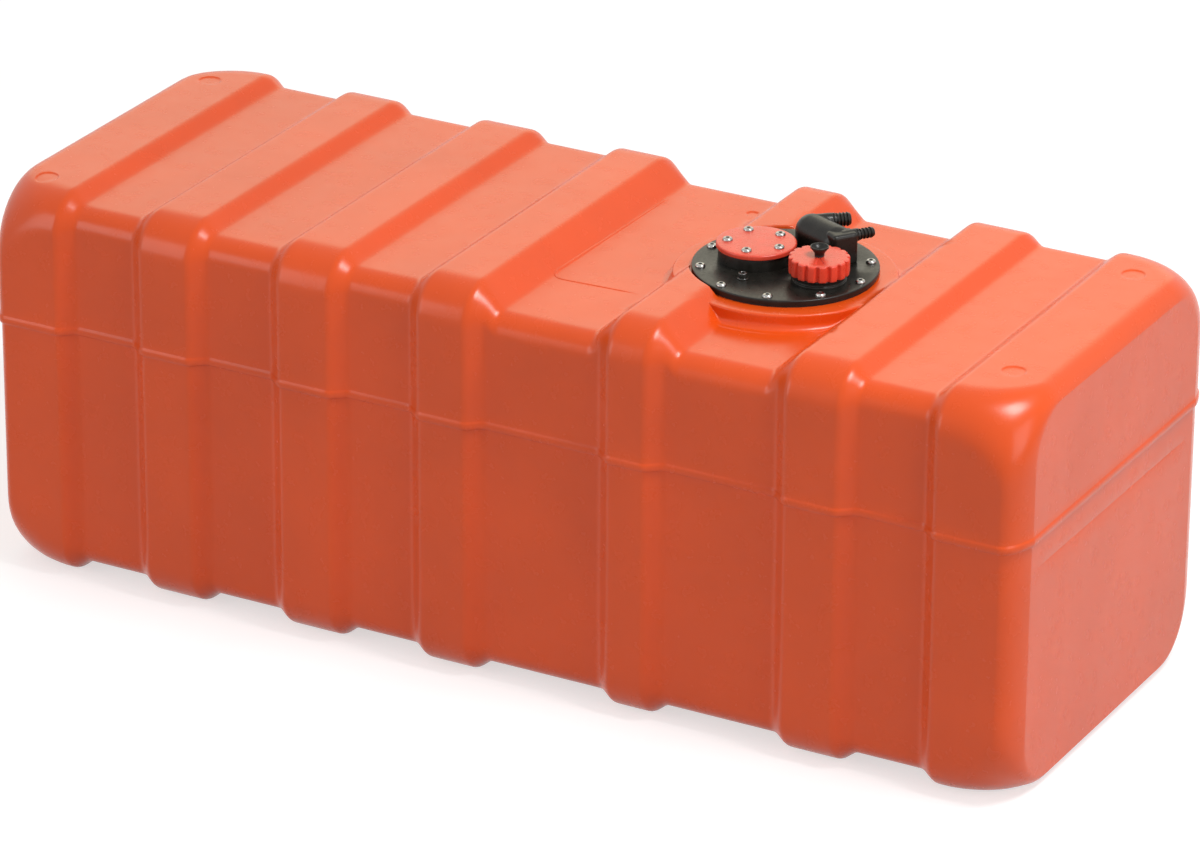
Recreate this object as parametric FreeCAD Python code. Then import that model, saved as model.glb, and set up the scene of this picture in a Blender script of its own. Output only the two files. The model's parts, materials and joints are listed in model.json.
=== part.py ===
import FreeCAD, Part
import math
import os
from collections import namedtuple
from FreeCAD import Vector

# Marine fuel tank: a blow moulded tank with a bolted flange plate that carries
# a level sender port, a filler neck with its cap and a fuel pickup fitting.
# Sizes are in millimetres. X runs along the tank, Y to the back, Z up.
# The origin is under the middle of the tank, on the surface it stands on.

# Tank body: bands and recesses in order from the left end to the right end
LEFT_BLOCK = 80.0
RECESS_1 = 95.0
BAND_1 = 53.0
RECESS_2 = 100.0
BAND_2 = 55.0
RECESS_3 = 97.0
BAND_3 = 50.0
RECESS_4 = 151.0
BAND_4 = 39.0
RECESS_5 = 144.0
BAND_5 = 54.0
RECESS_6 = 98.0
RIGHT_BLOCK = 84.0
TANK_WIDTH = 420.0
TANK_HEIGHT = 400.0
WALL = 6.0
RECESS_DEPTH = 12.0
LOW_TOP_DEPTH = 24.0
FLANK_RUN = 14.0
LOW_FLANK_RUN = 25.0
BAND_EDGE_RADIUS = 40.0
RECESS_EDGE_RADIUS = 22.0
END_ROUND_LENGTH = 14.0
END_SIDE_ROUND = 40.0
END_TOP_ROUND = 22.0
END_STEPS = 6

# Corners of the ends, which start to round off further in than the faces do
END_CORNER_RADIUS = 56.0
END_CORNER_RUN = 76.0
END_CORNER_STEPS = 4

# Seam where the two halves of the mould meet
SEAM_HEIGHT = 264.0
SEAM_BEAD_HEIGHT = 8.0
SEAM_BEAD_PROUD = 1.5
LOWER_HALF_INSET = 1.5

# Shallow round mould marks on the end blocks, and a dimple behind the middle
MARK_RADIUS = 11.0
MARK_DEPTH = 1.0
LEFT_MARK_FROM_END = 40.0
RIGHT_MARK_FROM_END = 50.0
MARK_BACK_Y = 135.0
LEFT_MARK_FRONT_Y = -160.0
RIGHT_MARK_FRONT_Y = -123.0
DIMPLE_FROM_BAND_4 = 54.0
DIMPLE_Y = 144.0
DIMPLE_RADIUS = 6.0

# Collar that the flange plate is bolted to
COLLAR_FROM_BAND_4 = 55.5
COLLAR_RADIUS = 106.0
COLLAR_HOLE_RADIUS = 70.0
COLLAR_BELOW_BAND = 8.5
COLLAR_LIP_RADIUS = 2.0
COLLAR_FLARE = 8.0
POCKET_CLEARANCE = 2.0

# Screws, their holes and the brass inserts that they turn into
SCREW_SHANK_RADIUS = 2.5
SCREW_HEAD_RADIUS = 4.9
SCREW_HEAD_HEIGHT = 2.75
SCREW_CROWN_RADIUS = 1.9
SCREW_CROWN_LEAN = 45.0
SCREW_KEY_SIZE = 3.0
KEY_SIDES = 6
SCREW_KEY_DEPTH = 1.6
SCREW_HOLE_CLEARANCE = 0.3
THREAD_CLEARANCE = 0.05
FLANGE_SCREW_LENGTH = 16.0
FLANGE_SCREW_COUNT = 10
FLANGE_SCREW_CIRCLE = 80.0
FLANGE_SCREW_START = 177.0
INSERT_RADIUS = 5.0
INSERT_LENGTH = 12.0
INSERT_FIT = 0.05
INSERT_GROOVE = 0.5
INSERT_GROOVE_WIDTH = 1.5
INSERT_BOSS_RADIUS = 8.0
INSERT_BOSS_FLOOR = 2.0

# Flange gasket and flange plate
GASKET_THICKNESS = 2.0
GASKET_EDGE_SETBACK = 1.5
PLATE_RADIUS = 88.0
PLATE_THICKNESS = 5.0
PLATE_EDGE_ROUND = 1.0

# Sender port: five screws on the usual 54 mm circle
SENDER_FROM_COLLAR_X = -31.0
SENDER_FROM_COLLAR_Y = 0.0
SENDER_BOSS_RADIUS = 36.0
SENDER_BOSS_HEIGHT = 11.5
SENDER_BORE_RADIUS = 20.0
SENDER_GASKET_THICKNESS = 1.0
SENDER_COVER_RADIUS = 37.9
SENDER_COVER_THICKNESS = 5.0
SENDER_COVER_ROUND = 1.5
SENDER_SCREW_COUNT = 5
SENDER_SCREW_CIRCLE = 27.0
SENDER_SCREW_START = 133.4
SENDER_SCREW_LENGTH = 12.0
SENDER_INSERT_RADIUS = 3.6
SENDER_INSERT_LENGTH = 9.0

# Filler neck, cap and the vent screw in the cap
FILLER_FROM_COLLAR_X = 44.0
FILLER_FROM_COLLAR_Y = -18.0
NECK_RADIUS = 24.4
NECK_BORE_RADIUS = 19.0
NECK_HEIGHT = 17.0
NECK_BEAD_RADIUS = 26.0
NECK_BEAD_HEIGHT = 2.5
CAP_RADIUS = 28.6
CAP_HEIGHT = 16.0
CAP_TOP_THICKNESS = 5.0
CAP_EDGE_ROUND = 1.5
CAP_THREAD_CLEARANCE = 0.6
CAP_FLUTE_COUNT = 16
CAP_FLUTE_RADIUS = 3.2
CAP_FLUTE_DEPTH = 2.0
CAP_GASKET_THICKNESS = 2.0
CAP_GASKET_SETBACK = 0.4
CAP_GROOVE_ANGLE = -62.5
CAP_GROOVE_SPREAD = 13.0
CAP_GROOVE_DEPTH = 1.5
CAP_GROOVE_END_RADIUS = 21.0
VENT_BOSS_RADIUS = 6.0
VENT_BOSS_DEPTH = 2.5
VENT_SHANK_RADIUS = 2.5
VENT_SHANK_REACH = 1.0
VENT_SEAL_RADIUS = 4.5
VENT_SEAL_THICKNESS = 1.5
VENT_KNOB_FOOT_RADIUS = 4.6
VENT_KNOB_RADIUS = 8.7
VENT_KNOB_HEIGHT = 8.5
VENT_KNOB_BAND = 2.0

# Pickup fitting: a domed body with a feed side and a return side
PICKUP_FROM_COLLAR_X = 2.0
PICKUP_FROM_COLLAR_Y = 50.0
PICKUP_DOME_RADIUS = 16.0
PICKUP_HEIGHT = 32.5
PICKUP_BRIDGE_LENGTH = 34.9
PICKUP_BRIDGE_ANGLE = -23.6
RETURN_FROM_COLLAR_X = 42.5
RETURN_FROM_COLLAR_Y = 31.3
RETURN_BLOCK_LENGTH = 26.0
RETURN_BLOCK_WIDTH = 18.0
RETURN_BLOCK_HEIGHT = 30.0
RETURN_BLOCK_ANGLE = 55.0
RETURN_BLOCK_ROUND = 4.5
FEED_BARB_ANGLE = 43.0
FEED_BARB_HEIGHT = 25.0
FEED_BOSS_RADIUS = 7.4
FEED_BOSS_REACH = 19.8
FEED_BORE_RADIUS = 4.0
RETURN_BARB_HEIGHT = 24.5
RETURN_BOSS_RADIUS = 6.2
RETURN_BOSS_REACH = 15.0
RETURN_BORE_RADIUS = 2.5
FEED_STEM_RADIUS = 9.0
FEED_STEM_LENGTH = 20.5
RETURN_STEM_RADIUS = 5.0
RETURN_STEM_LENGTH = 14.5
STEM_CLEARANCE = 0.25
SEAL_THICKNESS = 1.5
SEAL_WIDTH = 1.8
SEAL_FROM_STEM = 1.0
SEAL_GROOVE_CLEARANCE = 0.2
LOCK_NUT_FLATS = 24.0
LOCK_NUT_HEIGHT = 8.0

# Hose barbs: size of the crest, the root between crests and the spigot behind
FEED_CREST_RADIUS = 6.75
FEED_ROOT_RADIUS = 5.6
FEED_SPIGOT_RADIUS = 5.8
FEED_SPIGOT_LENGTH = 7.0
FEED_COLLAR_RADIUS = 7.2
FEED_TAIL_LENGTH = 13.0
FEED_CREST_COUNT = 3
RETURN_CREST_RADIUS = 5.2
RETURN_ROOT_RADIUS = 4.3
RETURN_SPIGOT_RADIUS = 4.4
RETURN_SPIGOT_LENGTH = 6.0
RETURN_COLLAR_RADIUS = 6.0
RETURN_TAIL_LENGTH = 14.0
RETURN_CREST_COUNT = 4
BARB_COLLAR_LENGTH = 2.0
BARB_SEAL_THICKNESS = 1.0
BARB_SEAL_WIDTH = 0.9
BARB_SEAL_CLEARANCE = 0.1
SPIGOT_FIT = 0.05

# Tubes that hang in the fuel, and the strainer on the long one
FEED_TUBE_RADIUS = 5.5
FEED_TUBE_BORE_RADIUS = 4.0
RETURN_TUBE_RADIUS = 3.5
RETURN_TUBE_BORE_RADIUS = 2.5
RETURN_TUBE_DROP = 45.0
TUBE_SOCKET_DEPTH = 8.0
TUBE_FIT = 0.05
STRAINER_RADIUS = 9.0
STRAINER_WALL = 1.5
STRAINER_HEIGHT = 42.0
STRAINER_COLLAR_HEIGHT = 10.0
STRAINER_SLOT_COUNT = 8
STRAINER_SLOT_WIDTH = 3.0
STRAINER_FLOOR_GAP = 8.0

# Check valve inside the feed side of the fitting
VALVE_BALL_RADIUS = 5.0
VALVE_BALL_CLEARANCE = 0.05
VALVE_CHAMBER_RADIUS = 7.0
VALVE_CHAMBER_HEIGHT = 16.0
VALVE_CHAMBER_FROM_FOOT = 4.5
VALVE_SEAT_HEIGHT = 2.0
VALVE_SEAT_BORE_RADIUS = 4.0
VALVE_SEAT_FIT = 0.05
VALVE_SPRING_RADIUS = 4.4
VALVE_WIRE_RADIUS = 0.4
VALVE_SPRING_TURNS = 4
VALVE_SPRING_CLEARANCE = 0.05

# Bonding screw on the plate, with its washer and nut under the plate
BONDING_FROM_COLLAR_X = -19.0
BONDING_FROM_COLLAR_Y = -50.0
BONDING_HEAD_RADIUS = 4.25
BONDING_HEAD_HEIGHT = 5.0
BONDING_KEY_SIZE = 4.0
BONDING_KEY_DEPTH = 2.5
BONDING_SCREW_LENGTH = 14.0
BONDING_COLLAR_RADIUS = 5.5
BONDING_COLLAR_THICKNESS = 1.0
BONDING_WASHER_THICKNESS = 1.0
BONDING_NUT_FLATS = 8.0
BONDING_NUT_HEIGHT = 4.0

# Shape of an eased flank: share of the run and of the drop at its first bend
EASE_RUN = 0.2
EASE_DROP = 0.09

# How far a corner is cut back on the slant by each inset beside it, and by its radius
DIAGONAL = math.sqrt(0.5)
CORNER_CUT = math.sqrt(2) - 1

Z_AXIS = Vector(0, 0, 1)
CUT_MARGIN = 1.0

# Zones of the tank as their length, side inset and top inset
Zone = namedtuple("Zone", "length side top")
BLOCK_ZONE = (0.0, 0.0)
RECESS_ZONE = (RECESS_DEPTH, RECESS_DEPTH)
LOW_ZONE = (RECESS_DEPTH, LOW_TOP_DEPTH)
ZONES = [
    Zone(LEFT_BLOCK, *BLOCK_ZONE),
    Zone(RECESS_1, *RECESS_ZONE),
    Zone(BAND_1, *BLOCK_ZONE),
    Zone(RECESS_2, *RECESS_ZONE),
    Zone(BAND_2, *BLOCK_ZONE),
    Zone(RECESS_3, *RECESS_ZONE),
    Zone(BAND_3, *BLOCK_ZONE),
    Zone(RECESS_4, *LOW_ZONE),
    Zone(BAND_4, *BLOCK_ZONE),
    Zone(RECESS_5, *LOW_ZONE),
    Zone(BAND_5, *BLOCK_ZONE),
    Zone(RECESS_6, *RECESS_ZONE),
    Zone(RIGHT_BLOCK, *BLOCK_ZONE),
]
BAND_4_INDEX = 8
TANK_LENGTH = sum(zone.length for zone in ZONES)

# Section of the tank at one X: insets from the outside and the edge radius
Station = namedtuple("Station", "x side bottom top radius")


def zone_start(index):
    """X where a zone begins."""
    return sum(zone.length for zone in ZONES[:index]) - TANK_LENGTH / 2


BAND_4_LEFT = zone_start(BAND_4_INDEX)
BAND_4_CENTRE = BAND_4_LEFT + BAND_4 / 2
COLLAR_CENTRE = (BAND_4_CENTRE + COLLAR_FROM_BAND_4, 0.0)


def from_collar(x, y):
    """Place on the plate, measured from the middle of the collar."""
    return (COLLAR_CENTRE[0] + x, COLLAR_CENTRE[1] + y)


SENDER = from_collar(SENDER_FROM_COLLAR_X, SENDER_FROM_COLLAR_Y)
FILLER = from_collar(FILLER_FROM_COLLAR_X, FILLER_FROM_COLLAR_Y)
PICKUP = from_collar(PICKUP_FROM_COLLAR_X, PICKUP_FROM_COLLAR_Y)
RETURN = from_collar(RETURN_FROM_COLLAR_X, RETURN_FROM_COLLAR_Y)
BONDING = from_collar(BONDING_FROM_COLLAR_X, BONDING_FROM_COLLAR_Y)

# Levels, from the collar upwards
LOW_TOP = TANK_HEIGHT - LOW_TOP_DEPTH
PLATFORM = TANK_HEIGHT - COLLAR_BELOW_BAND
PLATE_BOTTOM = PLATFORM + GASKET_THICKNESS
PLATE_TOP = PLATE_BOTTOM + PLATE_THICKNESS
SENDER_RIM = PLATE_TOP + SENDER_BOSS_HEIGHT
SENDER_COVER_BOTTOM = SENDER_RIM + SENDER_GASKET_THICKNESS
SENDER_COVER_TOP = SENDER_COVER_BOTTOM + SENDER_COVER_THICKNESS
NECK_RIM = PLATE_TOP + NECK_HEIGHT
CAP_CEILING = NECK_RIM + CAP_GASKET_THICKNESS
CAP_TOP = CAP_CEILING + CAP_TOP_THICKNESS
VENT_KNOB_FOOT = CAP_TOP + VENT_SEAL_THICKNESS
VALVE_CHAMBER_BOTTOM = PLATE_TOP + VALVE_CHAMBER_FROM_FOOT
VALVE_CHAMBER_TOP = VALVE_CHAMBER_BOTTOM + VALVE_CHAMBER_HEIGHT
VALVE_SEAT_TOP = VALVE_CHAMBER_BOTTOM + VALVE_SEAT_HEIGHT
VALVE_BALL_Z = VALVE_SEAT_TOP + VALVE_BALL_CLEARANCE + math.sqrt(
    VALVE_BALL_RADIUS ** 2 - VALVE_SEAT_BORE_RADIUS ** 2)
FEED_STEM_BOTTOM = PLATE_TOP - FEED_STEM_LENGTH
RETURN_STEM_BOTTOM = PLATE_TOP - RETURN_STEM_LENGTH
SCREW_HOLE_RADIUS = SCREW_SHANK_RADIUS + SCREW_HOLE_CLEARANCE
THREAD_RADIUS = SCREW_SHANK_RADIUS + THREAD_CLEARANCE
STRAINER_BOTTOM = RECESS_DEPTH + WALL + STRAINER_FLOOR_GAP


def cylinder(centre, radius, bottom, top):
    """Upright round solid between two levels."""
    return Part.makeCylinder(radius, top - bottom, Vector(centre[0], centre[1], bottom))


def ring(centre, outer, inner, bottom, top):
    """Upright washer or sleeve between two levels."""
    body = cylinder(centre, outer, bottom, top)
    return body.cut(cylinder(centre, inner, bottom - CUT_MARGIN, top + CUT_MARGIN))


def turned(profile, centre=(0.0, 0.0)):
    """Solid turned about an upright axis. A profile entry of four numbers ends
    an arc that passes through its first two; the others end a straight line."""
    edges = []
    last = profile[-1][-2:]
    for entry in profile:
        start = Vector(last[0], 0, last[1])
        stop = Vector(entry[-2], 0, entry[-1])
        if len(entry) == 4:
            middle = Vector(entry[0], 0, entry[1])
            edges.append(Part.Arc(start, middle, stop).toShape())
        else:
            edges.append(Part.LineSegment(start, stop).toShape())
        last = entry[-2:]
    solid = Part.Face(Part.Wire(edges)).revolve(Vector(0, 0, 0), Z_AXIS, 360)
    solid.translate(Vector(centre[0], centre[1], 0))
    return solid


def rounded(radius, centre_r, centre_z, start_angle, stop_angle):
    """Profile entry for an arc that ends at the stop angle, in degrees."""
    middle = math.radians((start_angle + stop_angle) / 2)
    stop = math.radians(stop_angle)
    return (centre_r + radius * math.cos(middle), centre_z + radius * math.sin(middle),
            centre_r + radius * math.cos(stop), centre_z + radius * math.sin(stop))


def hexagon(centre, flats, bottom, top):
    """Upright six sided solid with the given distance across its flats."""
    corner = flats / 2 / math.cos(math.pi / KEY_SIDES)
    points = []
    for step in range(KEY_SIDES + 1):
        angle = math.radians(360.0 * step / KEY_SIDES)
        points.append(Vector(centre[0] + corner * math.cos(angle),
                             centre[1] + corner * math.sin(angle), bottom))
    return Part.Face(Part.makePolygon(points)).extrude(Vector(0, 0, top - bottom))


def tangent_arc(start, way, end):
    """Arc that leaves its start in the given direction and runs to its end."""
    chord = end - start
    reach = chord.Length ** 2 / (2 * way.dot(chord))
    corner = start + way * reach
    weight = chord.Length / 2 / reach
    middle = (start + corner * (2 * weight) + end) * (1 / (2 + 2 * weight))
    return Part.Arc(start, middle, end).toShape()


def two_arcs(start, start_way, end, end_way):
    """Two arcs that join smoothly and leave and reach two points in given directions."""
    chord = end - start
    square = 2 * (start_way.dot(end_way) - 1)
    linear = -2 * chord.dot(start_way + end_way)
    constant = chord.dot(chord)
    reach = (-linear - math.sqrt(linear ** 2 - 4 * square * constant)) / (2 * square)
    join = (start + start_way * reach + end - end_way * reach) * 0.5
    join_way = (join - start - start_way * reach).normalize()
    return [tangent_arc(start, start_way, join), tangent_arc(join, join_way, end)]


def coil(radius, pitch, turns, wire_radius):
    """Round wire wound round Z, made of smooth arcs over half a turn at a time."""
    def at(half_turns):
        angle = math.pi * half_turns
        place = Vector(radius * math.cos(angle), radius * math.sin(angle), pitch * half_turns / 2)
        way = Vector(-radius * math.sin(angle), radius * math.cos(angle), pitch / (2 * math.pi))
        return place, way.normalize()
    edges = []
    for step in range(2 * turns):
        edges += two_arcs(*at(step), *at(step + 1))
    start, way = at(0)
    section_wire = Part.Wire(Part.makeCircle(wire_radius, start, way))
    return Part.Wire(edges).makePipeShell([section_wire], True, False)


def circle_places(centre, radius, count, start):
    """Places spread evenly round a circle, from a start angle in degrees."""
    places = []
    for step in range(count):
        angle = math.radians(start + 360.0 * step / count)
        places.append((centre[0] + radius * math.cos(angle),
                       centre[1] + radius * math.sin(angle)))
    return places


FLANGE_SCREW_PLACES = circle_places(
    COLLAR_CENTRE, FLANGE_SCREW_CIRCLE, FLANGE_SCREW_COUNT, FLANGE_SCREW_START)
SENDER_SCREW_PLACES = circle_places(
    SENDER, SENDER_SCREW_CIRCLE, SENDER_SCREW_COUNT, SENDER_SCREW_START)


def laid_along(solid, place, level, angle):
    """Turn a solid that was made upright at the origin so that its axis lies
    flat at the given angle, with its foot at the given place and level."""
    solid.rotate(Vector(0, 0, 0), Vector(0, 1, 0), 90)
    solid.rotate(Vector(0, 0, 0), Z_AXIS, angle)
    solid.translate(Vector(place[0], place[1], level))
    return solid


def flat_bore(place, level, angle, radius, length):
    """Round solid that lies flat, for a passage or a boss."""
    return laid_along(cylinder((0, 0), radius, 0, length), place, level, angle)


def eased(run_done, run):
    """Share of a flank's drop that is reached after part of its run."""
    share = min(1.0, run_done / run)
    if share <= EASE_RUN:
        return EASE_DROP * share / EASE_RUN
    if share >= 1 - EASE_RUN:
        return 1 - EASE_DROP * (1 - share) / EASE_RUN
    middle = (share - EASE_RUN) / (1 - 2 * EASE_RUN)
    return EASE_DROP + middle * (1 - 2 * EASE_DROP)


def end_places(length, run):
    """Distances from the end at which its sections lie."""
    places = []
    for step in range(END_STEPS):
        angle = math.radians(90) * step / END_STEPS
        places.append(length * (1 - math.cos(angle)))
    for step in range(END_CORNER_STEPS + 1):
        places.append(length + (run - length) * step / END_CORNER_STEPS)
    return places


def bent_in(place, length):
    """Share of a quarter ellipse's inset at a distance from the end."""
    rise = max(0.0, 1 - place / length)
    return 1 - math.sqrt(1 - rise ** 2)


def end_stations(depth):
    """Sections of the rounded left end, for a skin at a depth in the wall.

    The sides, top and bottom curve in close to the end as quarter ellipses.
    The cut across the corners starts further in and grows faster to the end."""
    length = END_ROUND_LENGTH - depth
    side = END_SIDE_ROUND - depth
    top = END_TOP_ROUND - depth
    run = END_CORNER_RUN - depth
    first_cut = CORNER_CUT * (BAND_EDGE_RADIUS - depth)
    last_cut = CORNER_CUT * (END_CORNER_RADIUS - depth) + (side + top) * DIAGONAL
    stations = []
    for place in end_places(length, run):
        bend = bent_in(place, length)
        cut = first_cut + (last_cut - first_cut) * bent_in(place, run)
        radius = (cut - (side + top) * bend * DIAGONAL) / CORNER_CUT
        x = depth + place - TANK_LENGTH / 2
        stations.append(Station(x, side * bend, top * bend, top * bend, radius))
    return stations


def flank_stations(top_drop, depth, soft):
    """Sections of one flank as distances from the band's edge."""
    run = FLANK_RUN if top_drop <= RECESS_DEPTH else LOW_FLANK_RUN
    places = {0.0, FLANK_RUN, run}
    if soft:
        places |= {run * EASE_RUN, run * (1 - EASE_RUN)}
    shift = depth * math.tan(math.atan2(top_drop, run) / 2)
    edge = BAND_EDGE_RADIUS - depth
    stations = []
    for place in sorted(places):
        side_share = eased(place, FLANK_RUN) if soft else min(1.0, place / FLANK_RUN)
        top_share = eased(place, run) if soft else place / run
        radius = edge + (RECESS_EDGE_RADIUS - BAND_EDGE_RADIUS) * side_share
        stations.append(Station(place - shift, RECESS_DEPTH * side_share,
                                RECESS_DEPTH * side_share, top_drop * top_share, radius))
    return stations


def tank_stations(depth, soft):
    """Sections of the whole tank from left to right, for a skin at a depth."""
    left_end = end_stations(depth)
    stations = list(left_end)
    for index in range(1, len(ZONES)):
        before = ZONES[index - 1]
        after = ZONES[index]
        border = zone_start(index)
        flank = flank_stations(max(before.top, after.top), depth, soft)
        if before.side == 0.0:
            stations += [item._replace(x=border + item.x) for item in flank]
        else:
            stations += [item._replace(x=border - item.x) for item in reversed(flank)]
    stations += [item._replace(x=-item.x) for item in reversed(left_end)]
    return stations


def corner_arc(x, centre_y, centre_z, radius, start_angle):
    """Quarter circle in the section at X, running against the clock."""
    def at(angle):
        turn = math.radians(angle)
        return Vector(x, centre_y + radius * math.cos(turn), centre_z + radius * math.sin(turn))
    return at(start_angle), at(start_angle + 45), at(start_angle + 90)


def section(station, half_width, bottom, top, bottom_round, top_round):
    """Closed section of the tank, with its lower or upper edges rounded."""
    corners = []
    radius = station.radius
    x = station.x
    if bottom_round:
        corners.append(corner_arc(x, -half_width + radius, bottom + radius, radius, 180))
        corners.append(corner_arc(x, half_width - radius, bottom + radius, radius, 270))
    else:
        corners.append((Vector(x, -half_width, bottom),))
        corners.append((Vector(x, half_width, bottom),))
    if top_round:
        corners.append(corner_arc(x, half_width - radius, top - radius, radius, 0))
        corners.append(corner_arc(x, -half_width + radius, top - radius, radius, 90))
    else:
        corners.append((Vector(x, half_width, top),))
        corners.append((Vector(x, -half_width, top),))
    edges = []
    for index, corner in enumerate(corners):
        if len(corner) == 3:
            edges.append(Part.Arc(*corner).toShape())
        following = corners[(index + 1) % len(corners)]
        edges.append(Part.LineSegment(corner[-1], following[0]).toShape())
    return Part.Wire(edges)


def upper_half():
    """Outside of the tank above the seam."""
    wires = []
    for item in tank_stations(0.0, True):
        half_width = TANK_WIDTH / 2 - item.side
        wires.append(section(item, half_width, SEAM_HEIGHT, TANK_HEIGHT - item.top,
                             False, True))
    return Part.makeLoft(wires, True, True)


def lower_half():
    """Outside of the tank below the seam, a little narrower than the top."""
    wires = []
    for item in tank_stations(LOWER_HALF_INSET, True):
        half_width = TANK_WIDTH / 2 - LOWER_HALF_INSET - item.side
        wires.append(section(item, half_width, item.bottom, SEAM_HEIGHT, True, False))
    return Part.makeLoft(wires, True, True)


def seam_bead():
    """Raised line round the tank at the seam, following bands and recesses."""
    front = []
    for item in tank_stations(-SEAM_BEAD_PROUD, True):
        half_width = TANK_WIDTH / 2 + SEAM_BEAD_PROUD - item.side
        front.append(Vector(item.x, -half_width, SEAM_HEIGHT - SEAM_BEAD_HEIGHT / 2))
    back = [Vector(point.x, -point.y, point.z) for point in reversed(front)]
    outline = Part.makePolygon(front + back + front[:1])
    return Part.Face(outline).extrude(Vector(0, 0, SEAM_BEAD_HEIGHT))


def fuel_space():
    """The hollow inside of the tank."""
    depth = WALL + LOWER_HALF_INSET
    wires = []
    for item in tank_stations(depth, False):
        half_width = TANK_WIDTH / 2 - depth - item.side
        wires.append(section(item, half_width, WALL + item.bottom,
                             TANK_HEIGHT - WALL - item.top, True, True))
    return Part.makeLoft(wires, True, True)


def mould_marks():
    """Shallow round marks in the top of the tank."""
    left = LEFT_MARK_FROM_END - TANK_LENGTH / 2
    right = TANK_LENGTH / 2 - RIGHT_MARK_FROM_END
    marks = []
    for place in ((left, LEFT_MARK_FRONT_Y), (left, MARK_BACK_Y),
                  (right, RIGHT_MARK_FRONT_Y), (right, MARK_BACK_Y)):
        marks.append(cylinder(place, MARK_RADIUS, TANK_HEIGHT - MARK_DEPTH,
                              TANK_HEIGHT + CUT_MARGIN))
    dimple = (BAND_4_CENTRE - DIMPLE_FROM_BAND_4, DIMPLE_Y)
    marks.append(cylinder(dimple, DIMPLE_RADIUS, LOW_TOP - MARK_DEPTH, LOW_TOP + CUT_MARGIN))
    return marks


def pocket_wall():
    """Side of the flange pocket where it is sunk into the fourth band."""
    bottom = PLATFORM - WALL
    flank = flank_stations(LOW_TOP_DEPTH, 0.0, True)
    left = [Vector(BAND_4_LEFT - item.x, 0, TANK_HEIGHT - item.top) for item in flank]
    right = [Vector(BAND_4_LEFT + BAND_4 + item.x, 0, TANK_HEIGHT - item.top) for item in flank]
    points = list(reversed(left)) + right
    points.append(Vector(right[-1].x, 0, LOW_TOP - WALL))
    points.append(Vector(left[-1].x, 0, LOW_TOP - WALL))
    ridge = Part.Face(Part.makePolygon(points + points[:1]))
    ridge.translate(Vector(0, -COLLAR_RADIUS - CUT_MARGIN, 0))
    ridge = ridge.extrude(Vector(0, 2 * (COLLAR_RADIUS + CUT_MARGIN), 0))
    sleeve = ring(COLLAR_CENTRE, COLLAR_RADIUS, PLATE_RADIUS + POCKET_CLEARANCE,
                  bottom, TANK_HEIGHT + CUT_MARGIN)
    return sleeve.common(ridge)


def collar():
    """Raised seat of the flange plate, with bosses for the threaded inserts."""
    inner = COLLAR_RADIUS - WALL
    buried = LOW_TOP - WALL / 2
    lip = COLLAR_LIP_RADIUS
    seat = turned([
        (COLLAR_HOLE_RADIUS, PLATFORM - WALL),
        (inner, PLATFORM - WALL),
        (inner, buried),
        (COLLAR_RADIUS + COLLAR_FLARE, buried),
        (COLLAR_RADIUS + COLLAR_FLARE, LOW_TOP),
        rounded(COLLAR_FLARE, COLLAR_RADIUS + COLLAR_FLARE, LOW_TOP + COLLAR_FLARE, 270, 180),
        (COLLAR_RADIUS, PLATFORM - lip),
        rounded(lip, COLLAR_RADIUS - lip, PLATFORM - lip, 0, 90),
        (COLLAR_HOLE_RADIUS, PLATFORM),
    ], COLLAR_CENTRE)
    boss_bottom = PLATFORM - INSERT_LENGTH - INSERT_BOSS_FLOOR
    bosses = [cylinder(place, INSERT_BOSS_RADIUS, boss_bottom, PLATFORM - WALL / 2)
              for place in FLANGE_SCREW_PLACES]
    seat = seat.multiFuse([pocket_wall()] + bosses)
    pockets = [cylinder(place, INSERT_RADIUS + INSERT_FIT, PLATFORM - INSERT_LENGTH,
                        PLATFORM + CUT_MARGIN) for place in FLANGE_SCREW_PLACES]
    return seat.cut(pockets)


def tank_shell():
    """Hollow tank body with its seam, marks and collar."""
    body = upper_half().multiFuse([lower_half(), seam_bead()])
    under_collar = cylinder(COLLAR_CENTRE, COLLAR_RADIUS - WALL, LOW_TOP - 2 * WALL,
                            PLATFORM - WALL)
    over_collar = cylinder(COLLAR_CENTRE, PLATE_RADIUS + POCKET_CLEARANCE, PLATFORM - WALL,
                           TANK_HEIGHT + CUT_MARGIN)
    body = body.cut([fuel_space(), under_collar, over_collar] + mould_marks())
    return body.fuse(collar())


def button_screw(place, seat_level, length):
    """Button head screw with a six sided key hole, seated at a level."""
    top = seat_level + SCREW_HEAD_HEIGHT
    lean = math.radians(SCREW_CROWN_LEAN)
    crown_radius = SCREW_CROWN_RADIUS + (SCREW_HEAD_RADIUS - SCREW_CROWN_RADIUS) * math.cos(lean)
    crown_level = seat_level + SCREW_HEAD_HEIGHT * math.sin(lean)
    screw = turned([
        (0, seat_level - length),
        (SCREW_SHANK_RADIUS, seat_level - length),
        (SCREW_SHANK_RADIUS, seat_level),
        (SCREW_HEAD_RADIUS, seat_level),
        (crown_radius, crown_level, SCREW_CROWN_RADIUS, top),
        (0, top),
    ], place)
    return screw.cut(hexagon(place, SCREW_KEY_SIZE, top - SCREW_KEY_DEPTH, top + CUT_MARGIN))


def threaded_insert(place, radius, top, length):
    """Brass sleeve with two grooves that lock it in the plastic."""
    bottom = top - length
    root = radius - INSERT_GROOVE
    half = INSERT_GROOVE_WIDTH / 2
    lower = bottom + length / 3
    upper = bottom + 2 * length / 3
    return turned([
        (THREAD_RADIUS, bottom),
        (radius, bottom),
        (radius, lower - half),
        (root, lower - half),
        (root, lower + half),
        (radius, lower + half),
        (radius, upper - half),
        (root, upper - half),
        (root, upper + half),
        (radius, upper + half),
        (radius, top),
        (THREAD_RADIUS, top),
    ], place)


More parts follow.
